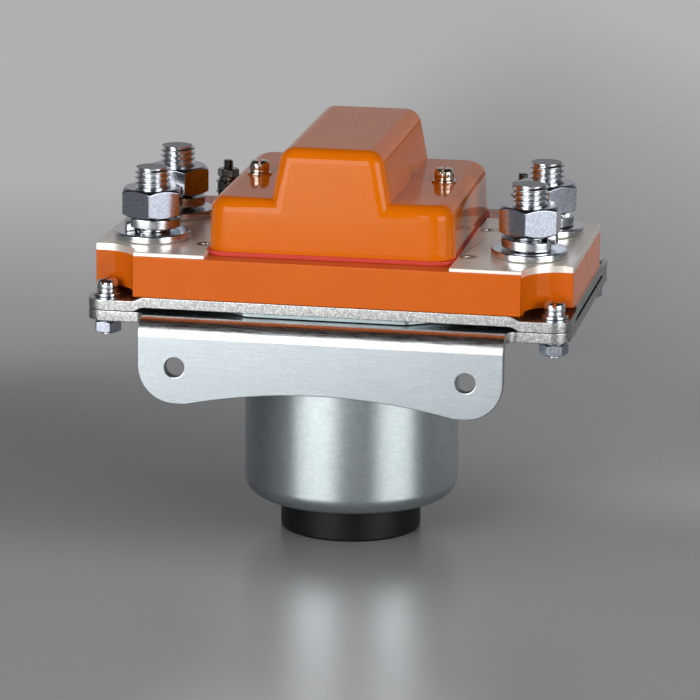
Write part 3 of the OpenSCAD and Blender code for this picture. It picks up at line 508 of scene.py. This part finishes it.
def piece(
        name: str, mesh: BMesh, finish: Finish, node: str, parts: Dressing = (),
        crease: float = 30) -> Object:
    """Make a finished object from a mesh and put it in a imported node's stead.

    Args:
        name: Name of the piece.
        mesh: Its mesh in millimetres, which is freed.
        finish: The finish of the piece.
        node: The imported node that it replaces.
        parts: Further finishes, each with the rule that picks its faces.
        crease: Turn in degrees above which an edge is drawn sharp.

    Returns:
        The object, riding on the node's body.
    """
    data = bpy.data.meshes.new(name)
    data.materials.append(finish.material())
    for index, (other, rule) in enumerate(parts, 1):
        data.materials.append(other.material())
        for face in filter(rule, mesh.faces):
            face.material_index = index
    for face in mesh.faces:
        face.smooth = True
    bmesh.ops.scale(mesh, vec=(MM, MM, MM), verts=mesh.verts)
    mesh.to_mesh(data)
    mesh.free()
    data.set_sharp_from_angle(angle=math.radians(crease))
    made = linked(name, data)
    normals = made.modifiers.new("even shading", "WEIGHTED_NORMAL")
    normals.keep_sharp = True
    normals.weight = 80
    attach(made, body_of(frame["nodes"][node])[0])
    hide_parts(node)
    LOG.info("%s: %d faces, for %s", name, len(data.polygons), node)
    return made


@dataclass(frozen=True)
class Head:
    """Slotted pan head of a screw."""

    d: float
    h: float
    slot: float

    def mesh(self) -> BMesh:
        """Turn the head and cut its slot along the Y axis, half as deep as the head is high.

        Returns:
            The head on the origin, its underside at zero: a disc with two lobes on it.
        """
        r, h = self.d / 2, self.h
        parts = []
        for side in (0, -1, 1):
            part = turned(((0, 0), (r, 0), (r, h), (0, h)), closed=False, steps=48)
            round_off(part, ring_edges(part, r, h), h * 0.55, 6)
            cuts = [((0, 0, h / 2), (0, 0, -1 if side else 1))]
            if side:
                cuts.append(((side * self.slot / 2, 0, 0), (-side, 0, 0)))
            for point, away in cuts:
                trim(part, point, away)
                fill_openings(part)
            round_off(part, sharp_edges(part, 40), 0.08)
            parts.append(close_up(part))
        return joined(*parts)


def screws(
        node: str, finish: Finish, head: Head, places: tuple[Point, ...], z_seat: float) -> Object:
    """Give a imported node's screws fully formed heads on their own shanks.

    Args:
        node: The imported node.
        finish: The finish of the screws.
        head: The head of every screw.
        places: X, Y and turn in degrees of each screw.
        z_seat: Height of the heads' undersides.

    Returns:
        The new object.
    """
    shanks = from_node(node)
    trim(shanks, (0, 0, z_seat), (0, 0, 1))
    fill_openings(shanks)
    round_off(shanks, sharp_edges(shanks), SMALL_EDGE)
    heads = [moved(head.mesh(), x, y, z_seat, turn) for x, y, turn in places]
    return piece(f"finished_{node}", joined(shanks, *heads), finish, node)


def eased_copy(
        node: str, finish: Finish, radius: float, rule: EdgeRule | None = None, segments: int = 2,
        parts: Dressing = ()) -> Object:
    """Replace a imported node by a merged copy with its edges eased.

    Args:
        node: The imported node.
        finish: The finish of the piece.
        radius: Rounding of the edges in millimetres.
        rule: Which sharp edges are rounded.
        segments: Number of faces across the rounding.
        parts: Further finishes, each with the rule that picks its faces.

    Returns:
        The new object.
    """
    mesh = from_node(node)
    round_off(mesh, sharp_edges(mesh, rule=rule), radius, segments)
    return piece(f"finished_{node}", mesh, finish, node, parts)


def coat(**finishes: Finish) -> None:
    """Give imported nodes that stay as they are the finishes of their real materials.

    Args:
        **finishes: The finish of each node.
    """
    for node, finish in finishes.items():
        for slot in frame["nodes"][node].material_slots:
            slot.material = finish.material()
        LOG.info("%s: %s", node, finish.name)


# Sub-assemblies


@dataclass
class Cover:
    """Moulded cover with its gasket and its two screws."""

    z_foot: float = 86.25
    shoulder_h: float = 14.85
    ridge_h: float = 29.33
    gasket_z: float = 85.0
    gasket_squeeze: float = 0.82
    gasket_edge: float = 0.2
    half_w: float = 34.5
    half_d: float = 36.6
    ridge_half_w: float = 14.0
    ridge_draft: float = 10.4
    draft: float = 2.6
    corner_r: float = 6.4
    edge_r: float = 3.8
    wall: float = 2.2
    screw_x: float = 26.4
    z_seat: float = 102.6
    head: Head = Head(5.6, 2.5, slot=0.8)
    slot_turns: Pair = (8.0, -4.0)
    slide: float = -0.8
    turn: float = 0.7

    @property
    def crease_x(self) -> float:
        """Distance of the crease between shoulder and ridge from the middle."""
        lean = math.tan(math.radians(self.ridge_draft))
        return self.ridge_half_w + (self.ridge_h - self.shoulder_h) * lean

    @property
    def shoulder_x(self) -> float:
        """Distance of the shoulder's outer edge from the middle."""
        return self.half_w - self.shoulder_h * math.tan(math.radians(self.draft))

    def build(self) -> None:
        """Build the cover and finish what holds it."""
        self.seat(self.gasket())
        self.seat(self.shell())
        for node in ("cover_spring_washers", "cover_washers"):
            self.seat(eased_copy(node, NICKEL_SCREW, SMALL_EDGE))
        left, right = self.slot_turns
        places = ((-self.screw_x, 0, left), (self.screw_x, 0, right))
        self.seat(screws("cover_screws", NICKEL_SCREW, self.head, places, self.z_seat))

    def seat(self, held: Object) -> None:
        """Put a piece where the photograph shows the cover: a little to the left and turned."""
        held.data.transform(placed(self.slide * MM, turn=self.turn))

    def gasket(self) -> Object:
        """Squeeze the gasket under the cover's foot.

        Returns:
            The gasket.
        """
        mesh = from_node("cover_gasket")
        round_off(mesh, sharp_edges(mesh), self.gasket_edge)
        for vert in mesh.verts:
            vert.co.z = self.gasket_z + (vert.co.z - self.gasket_z) * self.gasket_squeeze
        return piece("squeezed_gasket", mesh, GASKET_RUBBER, "cover_gasket")

    def shell(self) -> Object:
        """Mould the shell: a front outline drawn back through the depth, rounded and hollowed.

        Returns:
            The shell.
        """
        slope = math.tan(math.radians(self.draft))
        right = ((self.half_w, 0), (self.shoulder_x, self.shoulder_h),
                 (self.crease_x, self.shoulder_h), (self.ridge_half_w, self.ridge_h))
        points = right + tuple((-x, h) for x, h in reversed(right))
        mesh = bmesh.new()
        front = mesh.faces.new([
            mesh.verts.new((x, -self.half_d + h * slope, self.z_foot + h)) for x, h in points])
        drawn = bmesh.ops.extrude_face_region(mesh, geom=[front], use_keep_orig=True)
        for vert in (g for g in drawn["geom"] if isinstance(g, BMVert)):
            vert.co.y *= -1
        bmesh.ops.recalc_face_normals(mesh, faces=mesh.faces)
        round_off(mesh, sharp_edges(mesh, 20, self.is_corner), self.corner_r, 12)
        round_off(mesh, sharp_edges(mesh, 20, self.is_outer), self.edge_r, 8)
        foot = [f for f in mesh.faces if all(v.co.z < self.z_foot + 0.1 for v in f.verts)]
        bmesh.ops.delete(mesh, geom=foot, context="FACES")
        shell = piece("moulded_cover", mesh, COVER_PLASTIC, "cover", crease=25)
        hollow = shell.modifiers.new("wall", "SOLIDIFY")
        hollow.thickness = self.wall * MM
        hollow.use_even_offset = True
        shell.modifiers.move(1, 0)
        return shell

    def is_corner(self, edge: BMEdge) -> bool:
        """Tell the four upright corners of the foot's outline."""
        a, b = (v.co for v in edge.verts)
        return min(abs(a.x), abs(b.x)) > self.shoulder_x - NEAR and abs(a.z - b.z) > 1

    def is_outer(self, edge: BMEdge) -> bool:
        """Tell the outer edges from the foot and from the creases beside the ridge."""
        a, b = (v.co for v in edge.verts)
        straight = abs(a.z - b.z) < NEAR and abs(a.x - b.x) < NEAR
        crease = straight and abs(abs(a.x) - self.crease_x) < NEAR
        return max(a.z, b.z) >= self.z_foot + 0.1 and not crease


@dataclass
class Base:
    """Moulded base between the yoke plate and the terminals."""

    z_low: float = 73.5
    z_top: float = 85.0
    half_d: float = 43.1
    half_w: float = 67.0
    notch_r: float = 10.5
    notch_x: float = 64.6
    notch_ys: Pair = (-42.7, 36.0)
    notch_zone: Pair = (54.0, 25.0)
    relief: float = 1.0
    recess: float = 1.1
    edge_r: float = 0.3

    def build(self) -> None:
        """Ease the base's outer edges."""
        body = eased_copy("base", BASE_PLASTIC, self.edge_r, self.is_outer, 3)
        body.modifiers.clear()
        self.shade(body.data)

    def is_outer(self, edge: BMEdge) -> bool:
        """Tell the outline's edges from those of pockets that other pieces cover.

        Args:
            edge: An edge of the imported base.

        Returns:
            Whether it is rounded.
        """
        a, b = (v.co for v in edge.verts)
        middle = (a + b) / 2
        inside = abs(middle.x) < self.half_w - 0.1 and abs(middle.y) < self.half_d - 0.1
        notch = abs(middle.x) > self.notch_zone[0] and abs(middle.y) > self.notch_zone[1]
        if inside and not notch:
            return False
        low, high = sorted((a.z, b.z))
        rim = low > self.z_top - 0.05
        corner = low < self.z_low + self.relief and high > self.z_top - self.recess
        foot = high < self.z_low + 0.05 and abs(middle.y) > self.half_d - 1.1
        return rim or corner or foot

    def shade(self, data: bpy.types.Mesh) -> None:
        """Shade the flat faces flat and the hollow walls of the corner notches round.

        Args:
            data: The base's mesh, in metres.
        """
        normals = [face.normal.copy() for face in data.polygons for _ in face.loop_indices]
        for face in data.polygons:
            if abs(face.normal.z) > 0.1 or max(abs(face.normal.x), abs(face.normal.y)) > 0.9999:
                continue
            for loop in face.loop_indices:
                point = data.vertices[data.loops[loop].vertex_index].co / MM
                axis_x = math.copysign(self.notch_x, point.x)
                axis_y = self.notch_ys[int(point.y > 0)]
                inward = Vector((axis_x - point.x, axis_y - point.y, 0))
                if abs(inward.length - self.notch_r) < 0.05:
                    normals[loop] = inward.normalized()
        data.normals_split_custom_set(normals)


@dataclass
class Terminals:
    """Silvered plates with four threaded studs and what is stacked on them."""

    stud_x: float = 53.3
    stud_ys: Pair = (-21.8, 10.5)
    stud_d: float = 10.0
    stud_pitch: float = 1.5
    stud_chamfer: float = 0.5
    head_af: float = 16.0
    head_h: float = 6.4
    head_turn: float = 30.0
    z_recess: float = 84.0
    z_plate: float = 86.0
    z_spring_washer: float = 88.2
    z_stud_top: float = 106.15
    washer_d: float = 21.3
    washer_t: float = 2.2
    hole_d: float = 10.4
    spring_d: float = 15.7
    spring_t: float = 2.6
    spring_open: float = 1.65
    spring_span: float = 344.0
    spring_steps: int = 86
    spring_turns: dict[str, Pair] = field(default_factory=lambda: {
        "left": (215, 160), "right": (-32, 20)})
    nut_turns: dict[str, float] = field(default_factory=lambda: {
        "left_front": 4.5, "right_front": -6.0})
    plate_edge: float = 0.25
    screw_edge: float = 0.2
    nut_edge: float = 0.16
    washer_edge: float = 0.5
    washer_hole_edge: float = 0.15
    spring_edge: float = 0.3

    def build(self) -> None:
        """Build both plates and the four stacks."""
        for side, _ in SIDES:
            eased_copy(f"terminal_plate_{side}", SILVERED_COPPER, self.plate_edge, self.is_rim)
        eased_copy("plate_screws", TIN_SCREW, self.screw_edge)
        coat(fixed_tips=CONTACT_SILVER)
        for side, sign in SIDES:
            for place, y, turn in zip(("front", "rear"), self.stud_ys, self.spring_turns[side]):
                self.stack(f"{side}_{place}", sign * self.stud_x, y, turn)

    def is_rim(self, edge: BMEdge) -> bool:
        """Tell a plate's upper rim and its upright corners from edges that lie hidden."""
        return max(v.co.z for v in edge.verts) > self.z_plate - 0.05

    def is_stud_end(self, face: BMFace) -> bool:
        """Tell a stud's flat upper end."""
        return face.normal.z > 0.9 and face.calc_center_median().z > self.z_stud_top - 0.1

    def stack(self, place: str, x: float, y: float, turn: float) -> None:
        """Build one stud with its flat washer, spring washer and nut.

        Args:
            place: Side and place in the node names.
            x: The stud's X.
            y: The stud's Y.
            turn: Where the spring washer's split starts.
        """
        piece(f"threaded_stud_{place}", moved(self.stud(), x, y), ZINC_STUD,
              f"terminal_stud_{place}", ((STUD_END, self.is_stud_end),), THREAD_CREASE)
        nut = moved(from_node(f"terminal_nut_{place}"), -x, -y)
        moved(nut, x, y, turn=self.nut_turns.get(place, 0))
        round_off(nut, sharp_edges(nut), self.nut_edge)
        piece(f"finished_terminal_nut_{place}", nut, ZINC_NUT, f"terminal_nut_{place}")
        outer, inner, t = self.washer_d / 2, self.hole_d / 2, self.washer_t
        washer = turned(((inner, 0), (outer, 0), (outer, t), (inner, t)), steps=128)
        rims = ring_edges(washer, outer, 0) + ring_edges(washer, outer, t)
        round_off(washer, rims, self.washer_edge, 4)
        round_off(washer, ring_edges(washer, inner, t), self.washer_hole_edge)
        piece(f"flat_washer_{place}", moved(washer, x, y, self.z_plate), ZINC_WASHER,
              f"terminal_washer_{place}")
        outer, inner, t = self.spring_d / 2, self.hole_d / 2, self.spring_t
        section = outline(((inner, 0), (outer, 0), (outer, t), (inner, t)), closed=True)
        coil = helix(section, ((-self.spring_span / 360, self.spring_open, self.spring_steps),))
        round_off(coil, sharp_edges(coil), self.spring_edge)
        piece(f"spring_washer_{place}", moved(coil, x, y, self.z_spring_washer, turn), ZINC_SPRING,
              f"terminal_spring_washer_{place}")

    def stud(self) -> BMesh:
        """Thread a stud and set it on the hexagon head that the base holds.

        Returns:
            The stud on the origin's axis.
        """
        z_low = self.z_recess - self.head_h
        rod = threaded(self.stud_d, self.stud_pitch, z_low, self.z_stud_top, self.stud_chamfer)
        head = bmesh.new()
        r = self.head_af / math.sqrt(3)
        bmesh.ops.create_cone(
            head, cap_ends=True, segments=6, radius1=r, radius2=r, depth=self.head_h)
        return joined(rod, moved(head, z=z_low + self.head_h / 2, turn=self.head_turn))


@dataclass
class CoilStuds:
    """Two thin studs behind the cover, with the nuts and washers for the coil's wires."""

    x: float = 43.3
    y: float = 33.0
    d: float = 3.0
    pitch: float = 0.5
    z_head: float = 75.9
    head_d: float = 6.0
    head_h: float = 1.5
    z_tip: float = 98.0
    chamfer: float = 0.4
    edge_r: float = 0.1

    def build(self) -> None:
        """Build both studs and finish what is stacked on them."""
        r, h = self.head_d / 2, self.head_h
        for side, sign in SIDES:
            rod = threaded(self.d, self.pitch, self.z_head + h / 2, self.z_tip, self.chamfer, 20)
            head = turned(((0, 0), (r, 0), (r, h), (0, h)), closed=False, steps=48)
            moved(head, z=self.z_head)
            piece(f"threaded_coil_stud_{side}", moved(joined(rod, head), sign * self.x, self.y),
                  COIL_STUD_ZINC, f"coil_stud_{side}", crease=THREAD_CREASE)
        for node in ("coil_stud_nuts", "coil_stud_washers", "coil_stud_spring_washers"):
            eased_copy(node, COIL_STUD_ZINC, self.edge_r)


@dataclass
class SteelFrame:
    """Yoke plate and bent bracket, clamped at four corners."""

    edge_r: float = 0.3
    upright: float = 0.5
    bend_y: float = -45.9
    bend_z: float = 64.4
    corner_x: float = 62.6
    corner_y: float = 36.6
    z_seat: float = 74.3
    head: Head = Head(6.0, 2.7, slot=0.9)
    nut_edge: float = 0.1
    slot_turns: dict[tuple[int, int], float] = field(default_factory=lambda: {
        (-1, -1): -18.0, (1, -1): 6.0, (-1, 1): 40.0, (1, 1): -65.0})

    def build(self) -> None:
        """Finish the two plates and the corner screws."""
        eased_copy(
            "yoke_plate", ZINC_SHEET, self.edge_r, parts=((SHEARED_EDGE, self.is_plate_cut),))
        eased_copy("mounting_bracket", ZINC_SHEET, self.edge_r,
                   parts=((BENT_SHEET, self.is_bend), (SHEARED_EDGE, self.is_bracket_cut)))
        eased_copy("corner_washers", ZINC_WASHER, SMALL_EDGE)
        eased_copy("corner_spring_washers", ZINC_SPRING, SMALL_EDGE)
        eased_copy("corner_lower_spring_washers", ZINC_SPRING, SMALL_EDGE)
        eased_copy("corner_nuts", ZINC_NUT, self.nut_edge)
        places = tuple((x * self.corner_x, y * self.corner_y, turn)
                       for (x, y), turn in self.slot_turns.items())
        screws("corner_screws", ZINC_STUD, self.head, places, self.z_seat)

    def is_plate_cut(self, face: BMFace) -> bool:
        """Tell the yoke plate's cut edge from its rolled faces."""
        return abs(face.normal.z) < self.upright

    def is_bend(self, face: BMFace) -> bool:
        """Tell the faces of the bend above the flange."""
        middle = face.calc_center_median()
        return middle.y < self.bend_y and middle.z > self.bend_z

    def is_bracket_cut(self, face: BMFace) -> bool:
        """Tell the bracket's cut edges from its two rolled faces and its bend.

        Args:
            face: A face of the bracket.

        Returns:
            Whether it lies on a cut edge.
        """
        middle = face.calc_center_median()
        if middle.y >= self.bend_y:
            return abs(face.normal.z) < self.upright
        if middle.z < self.bend_z + 0.1:
            return abs(face.normal.y) < self.upright
        return abs(face.normal.x) > self.upright


@dataclass
class CoilPot:
    """Drawn can with the coil, the fixed core and the end cap."""

    r: float = 30.5
    wall: float = 1.2
    foot_r: float = 5.0
    neck_r: float = 1.2
    flange_r: float = 48.3
    flange_y: float = 43.0
    z_foot: float = 10.0
    z_flange: float = 69.6
    z_rim: float = 70.5
    hole_r: float = 3.1
    cap_r: float = 20.0
    cap_wall: float = 2.5
    cap_edge: float = 0.8
    cap_rim: float = 0.3

    def build(self) -> None:
        """Build the can and the cap, and finish what they hold."""
        self.can()
        self.cap()
        coat(
            bobbin=NATURAL_NYLON, coil_winding=ENAMELLED_WIRE, coil_leads=LEAD_PVC,
            fixed_core=MACHINED_IRON, core_nut=ZINC_NUT, core_washer=ZINC_WASHER,
            guide_tube=DRAWN_BRASS, guide_bush=NATURAL_NYLON, stop_washer=STOP_RUBBER)

    def can(self) -> None:
        """Draw the can: a turned wall whose flange is cut off level with the plates."""
        inner = self.r - self.wall
        z_floor = self.z_foot + self.wall
        mesh = turned((
            (self.hole_r, self.z_foot), (self.r, self.z_foot), (self.r, self.z_flange),
            (self.flange_r, self.z_flange), (self.flange_r, self.z_rim), (inner, self.z_rim),
            (inner, z_floor), (self.hole_r, z_floor)), steps=160)
        round_off(mesh, ring_edges(mesh, self.r, self.z_foot), self.foot_r, 10)
        round_off(mesh, ring_edges(mesh, inner, z_floor), self.foot_r - self.wall, 6)
        round_off(mesh, ring_edges(mesh, self.r, self.z_flange), self.neck_r, 5)
        for side in (-1, 1):
            trim(mesh, (0, side * self.flange_y, 0), (0, side, 0))
        parts = ((CUT_FLANGE, self.is_flange_cut),)
        piece("drawn_can", close_up(mesh), DRAWN_CAN, "coil_can", parts)

    def is_flange_cut(self, face: BMFace) -> bool:
        """Tell the cut edges of the can's flange."""
        return face.calc_center_median().z > self.z_flange - 0.1 and abs(face.normal.z) < 0.5

    def cap(self) -> None:
        """Turn the cap, open at the top."""
        r, inner, wall, z = self.cap_r, self.cap_r - self.cap_wall, self.cap_wall, self.z_foot
        mesh = turned(
            ((0, 0), (r, 0), (r, z), (inner, z), (inner, wall), (0, wall)), closed=False, steps=128)
        round_off(mesh, ring_edges(mesh, r, 0), self.cap_edge, 4)
        round_off(mesh, ring_edges(mesh, r, z), self.cap_rim)
        piece("moulded_end_cap", mesh, CAP_NYLON, "end_cap")


@dataclass(frozen=True)
class Spring:
    """One compression spring with closed end turns, as it stands at rest.

    held_z, the height of the end that stays still on its body, and travel, how much shorter the
    spring is at its joint's limit, are not used.
    """

    kind: str
    joint: str
    outer_r: float
    wire_d: float
    z: float
    h: float
    turns: int
    held_z: float
    travel: float
    wire_sides: int = 12
    turn_steps: int = 32

    def wind(self) -> None:
        """Wind the spring."""
        section = bmesh.new()
        bmesh.ops.create_circle(
            section, cap_ends=False, segments=self.wire_sides, radius=self.wire_d / 2)
        bmesh.ops.rotate(section, cent=(0, 0, 0), matrix=Matrix.Rotation(math.pi / 2, 3, "X"),
                         verts=section.verts)
        moved(section, x=self.outer_r - self.wire_d / 2, z=self.z + self.wire_d / 2)
        closed = (-1, self.wire_d, self.turn_steps)
        free = (2 - self.turns, self.h - 3 * self.wire_d, (self.turns - 2) * self.turn_steps)
        mesh = helix(section, (closed, free, closed))
        coil = piece(f"wound_{self.kind}_spring", mesh, SPRING_WIRE, f"{self.kind}_spring")
        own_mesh(coil)


@dataclass
class MovingParts:
    """Plunger, push rod and contact bridge, with their two springs."""

    springs: tuple[Spring, Spring] = (
        Spring("return", "plunger_slide", outer_r=5.8, wire_d=1.0, z=30.0, h=25.8, turns=8,
               held_z=30.0, travel=5.5),
        Spring("contact", "bridge_slide", outer_r=7.0, wire_d=1.1, z=97.45, h=9.3, turns=5,
               held_z=106.75, travel=1.5))

    def build(self) -> None:
        """Wind the springs and finish the rest."""
        for spring in self.springs:
            spring.wind()
        coat(
            plunger=MACHINED_IRON, push_rod=ZINC_STUD, insulating_bush=PHENOLIC,
            spring_cup=ZINC_WASHER, rod_nut=ZINC_NUT, contact_bridge=BARE_COPPER,
            moving_tips=CONTACT_SILVER, insulating_washer=PHENOLIC)


@dataclass(frozen=True)
class Lamp:
    """One softbox that faces the contactor, with its angles in degrees and its sizes in metres.

    A flat one shines upwards, as a white board on the floor does. One that isn't glossy doesn't
    show in polished surfaces.
    """

    name: str
    azimuth: float
    elevation: float
    distance: float
    width: float
    height: float
    watts: float
    flat: bool = False
    glossy: bool = True
    aim_z: float = 0.06

    def hang(self) -> None:
        """Hang the lamp out of the camera's sight."""
        back = bearing(self.azimuth, self.elevation)
        light = bpy.data.lights.new(self.name, "AREA")
        light.shape = "RECTANGLE"
        light.size, light.size_y, light.energy = self.width, self.height, self.watts
        box = linked(self.name, light)
        box.location = back * self.distance + Vector((0, 0, self.aim_z))
        facing = Vector((0, 0, -1)) if self.flat else back
        box.rotation_euler = facing.to_track_quat("Z", "Y").to_euler()
        box.visible_camera = False
        box.visible_glossy = self.glossy


LAMPS = (
    Lamp("left softbox", -28, 16, distance=1.1, width=0.86, height=0.72, watts=9.8),
    Lamp("right softbox", 58, 13, distance=1.1, width=0.78, height=0.6, watts=7.8),
    Lamp("front strip", -20, -3, distance=1.1, width=0.8, height=0.14, watts=1),
    Lamp("front board", -8, -6.4, distance=0.52, width=0.5, height=0.6, watts=0.42, flat=True),
    Lamp("top fill", 10, 75, distance=1.3, width=1.2, height=1.2, watts=3.1, glossy=False))


def bearing(azimuth: float, elevation: float) -> Vector:
    """Point from the contactor to a bearing, counted to the right from the front, and a height."""
    a, e = math.radians(azimuth), math.radians(elevation)
    return Vector((math.sin(a) * math.cos(e), -math.cos(a) * math.cos(e), math.sin(e)))


@dataclass(frozen=True)
class Fade:
    """A tone that turns into another along a direction on the floor.

    The span counts in metres from the coil's axis. Each tone is a hex colour or a fade itself.
    """

    low: "str | Fade"
    high: "str | Fade"
    way: Pair
    span: Pair
    smooth: bool = True

    def share(self, tree: NodeTree, place: NodeSocket) -> NodeSocket:
        """Return the share of the second tone at a place on the floor."""
        along = add(tree, "VectorMath", {0: place, 1: (*self.way, 0.0)},
                    operation="DOT_PRODUCT")
        return rise(tree, along.outputs["Value"], self.span, self.smooth)

    def tone(self, tree: NodeTree, place: NodeSocket) -> NodeSocket:
        """Return the tone at a place on the floor, with the fades in this one worked out first."""
        parts = (self.low, self.high)
        tones = (part if isinstance(part, str) else part.tone(tree, place) for part in parts)
        return blend(tree, self.share(tree, place), *tones)


@dataclass
class Board:
    """Satin grey board under the contactor, with painted light and shade in its colour, and a
    painted glow that stands for the lit wall it runs up to.
    """

    azimuth: float
    radius: float = 4.0
    roughness: float = 0.3
    ior: float = 1.45
    # Share of the painted glow of the wall, which rises towards the back
    painted_glow_start: Fade = Fade("#000000", "#ffffff", BACK, (0.06, 0.24))
    room: str = "#a6a7a9"
    room_span: Pair = (0.18, 0.3)

    def lay(self) -> None:
        """Lay the board under the contactor."""
        mesh = bmesh.new()
        bmesh.ops.create_circle(mesh, cap_ends=True, segments=96, radius=self.radius)
        data = bpy.data.meshes.new("studio_floor")
        mesh.to_mesh(data)
        mesh.free()
        data.materials.append(self.material())
        linked("studio_floor", data)

    def painted_board_light(self) -> Fade:
        """Paint light and shade into the board: a painted pool of light in front, a painted shadow
        at the rear left and painted light at the right.

        Returns:
            The board's own grey, with the painted light and shade.
        """
        a = math.radians(self.azimuth)
        across = (math.cos(a), math.sin(a))
        grey = "#959696"
        # Painted light and shade: a pale pool of light in front, a painted shadow at the rear left
        # and painted light at the right.
        painted_light_pool = Fade(grey, Fade(grey, "#b3b4b6", across, (-0.05, -0.005)), across, (0.045, 0.0))
        front = Fade(grey, painted_light_pool, BACK, (-0.04, -0.1))
        left = Fade(front, "#76777a", BACK, (-0.07, 0.0))
        right = Fade(front, "#bebebf", BACK, (0.0, 0.06))
        return Fade(left, right, RIGHT, (-0.06, 0.08))

    def painted_wall_light(self) -> Fade:
        """Paint the glow of a lit wall: painted light that grows brighter with the distance, and a
        painted shadow at the far right.

        Returns:
            The tones of the painted glow.
        """
        # Painted light of a lit wall that grows towards the back, with a painted shadow at the far
        # right.
        left = Fade("#6c6d6e", "#b0b0b0", BACK, (0.06, 0.46), smooth=False)
        right = Fade("#7f8081", "#b4b3b4", (1.8, 1.0), (0.3, 0.85), smooth=False)
        return Fade(Fade(left, right, RIGHT, (-0.13, -0.03)), "#606162", RIGHT, (0.1, 0.24))

    def material(self) -> Material:
        """Build the board's material.

        Returns:
            A lit board, which the painted glow of the wall covers behind the contactor for the
            camera and in reflections, and the room's plain tone further out.
        """
        material, tree, shader = node_material("satin_grey_board")
        place = add(tree, "TexCoord").outputs["Object"]
        tree.links.new(self.painted_board_light().tone(tree, place), shader.inputs["Base Color"])
        shader.inputs["Roughness"].default_value = self.roughness
        shader.inputs["IOR"].default_value = self.ior
        rays = add(tree, "LightPath").outputs
        direct = combined(tree, rays["Is Camera Ray"], rays["Is Glossy Ray"], "MAXIMUM")
        direct = combined(tree, direct, rays["Is Transmission Ray"], "MAXIMUM")
        behind = combined(tree, direct, self.painted_glow_start.share(tree, place), "MULTIPLY")
        away = add(tree, "VectorMath", {0: place}, operation="LENGTH").outputs["Value"]
        far = combined(tree, rise(tree, away, self.room_span), rays["Is Camera Ray"], "MULTIPLY")
        # Emission that paints the wall's glow: painted light from a surface that is no lamp
        painted_wall_glow = add(tree, "Emission", {"Color": self.painted_wall_light().tone(tree, place)})
        room = add(tree, "Emission", {"Color": linear(self.room)})
        near = add(tree, "MixShader", {0: far, 1: shader.outputs[0], 2: room.outputs[0]})
        both = add(tree, "MixShader", {0: behind, 1: near.outputs[0], 2: painted_wall_glow.outputs[0]})
        tree.links.new(both.outputs[0], tree.nodes["Material Output"].inputs["Surface"])
        return material


@dataclass
class Studio:
    """Camera, lamps, board and room."""

    azimuth: float = 10.37
    elevation: float = 13.65
    roll: float = 0.6
    target: Point = (-0.74, 0.0, 51.12)
    distance: float = 1251.18
    focal_px: float = 4396.58
    frame_px: float = 700.0
    sensor_mm: float = 36.0
    clip: Pair = (0.05, 20.0)
    room_front: str = "#4c4d50"
    room_wall: str = "#adadae"
    wall_rise: float = -1.2
    wall_span: Pair = (-0.1, 0.62)
    ceiling: str = "#2b2623"
    ceiling_span: Pair = (0.5, 0.85)

    def build(self) -> None:
        """Set up the picture."""
        self.camera()
        Board(self.azimuth).lay()
        for lamp in LAMPS:
            lamp.hang()
        self.surroundings()
        bpy.context.scene.view_settings.view_transform = "Standard"

    def camera(self) -> None:
        """Place the camera at the photograph's viewpoint."""
        back = bearing(self.azimuth, self.elevation)
        right = (-back).cross(Vector((0, 0, 1))).normalized()
        up = right.cross(-back)
        r = math.radians(self.roll)
        across = right * math.cos(r) + up * math.sin(r)
        upward = up * math.cos(r) - right * math.sin(r)
        lens = bpy.data.cameras.new("camera")
        lens.sensor_width = self.sensor_mm
        lens.lens = self.focal_px * self.sensor_mm / self.frame_px
        lens.clip_start, lens.clip_end = self.clip
        seat = linked("camera", lens)
        place = Matrix((across, upward, back)).transposed().to_4x4()
        place.translation = (Vector(self.target) + back * self.distance) * MM
        seat.matrix_world = place
        bpy.context.scene.camera = seat

    def surroundings(self) -> None:
        """Fill the room with soft grey light from a pale wall, a dim front and a dark ceiling."""
        world = bpy.data.worlds.new("grey studio")
        world.use_nodes = True
        tree = world.node_tree
        way = add(tree, "SeparateXYZ", {
            "Vector": add(tree, "TexCoord").outputs["Generated"]}).outputs
        low = add(tree, "Math", {0: way["Z"], 1: self.wall_rise, 2: way["Y"]},
                  operation="MULTIPLY_ADD").outputs[0]
        walls = blend(tree, rise(tree, low, self.wall_span), self.room_front, self.room_wall)
        room = blend(tree, rise(tree, way["Z"], self.ceiling_span), walls, self.ceiling)
        tree.links.new(room, tree.nodes["Background"].inputs["Color"])
        bpy.context.scene.world = world


def main() -> None:
    """Build every sub-assembly in order."""
    logging.basicConfig(level=logging.INFO, format="%(name)s: %(message)s")
    for kind in (Studio, SteelFrame, CoilPot, Base, Cover, Terminals, CoilStuds, MovingParts):
        LOG.info("building %s", kind.__name__)
        kind().build()


if __name__ == "__main__":
    main()
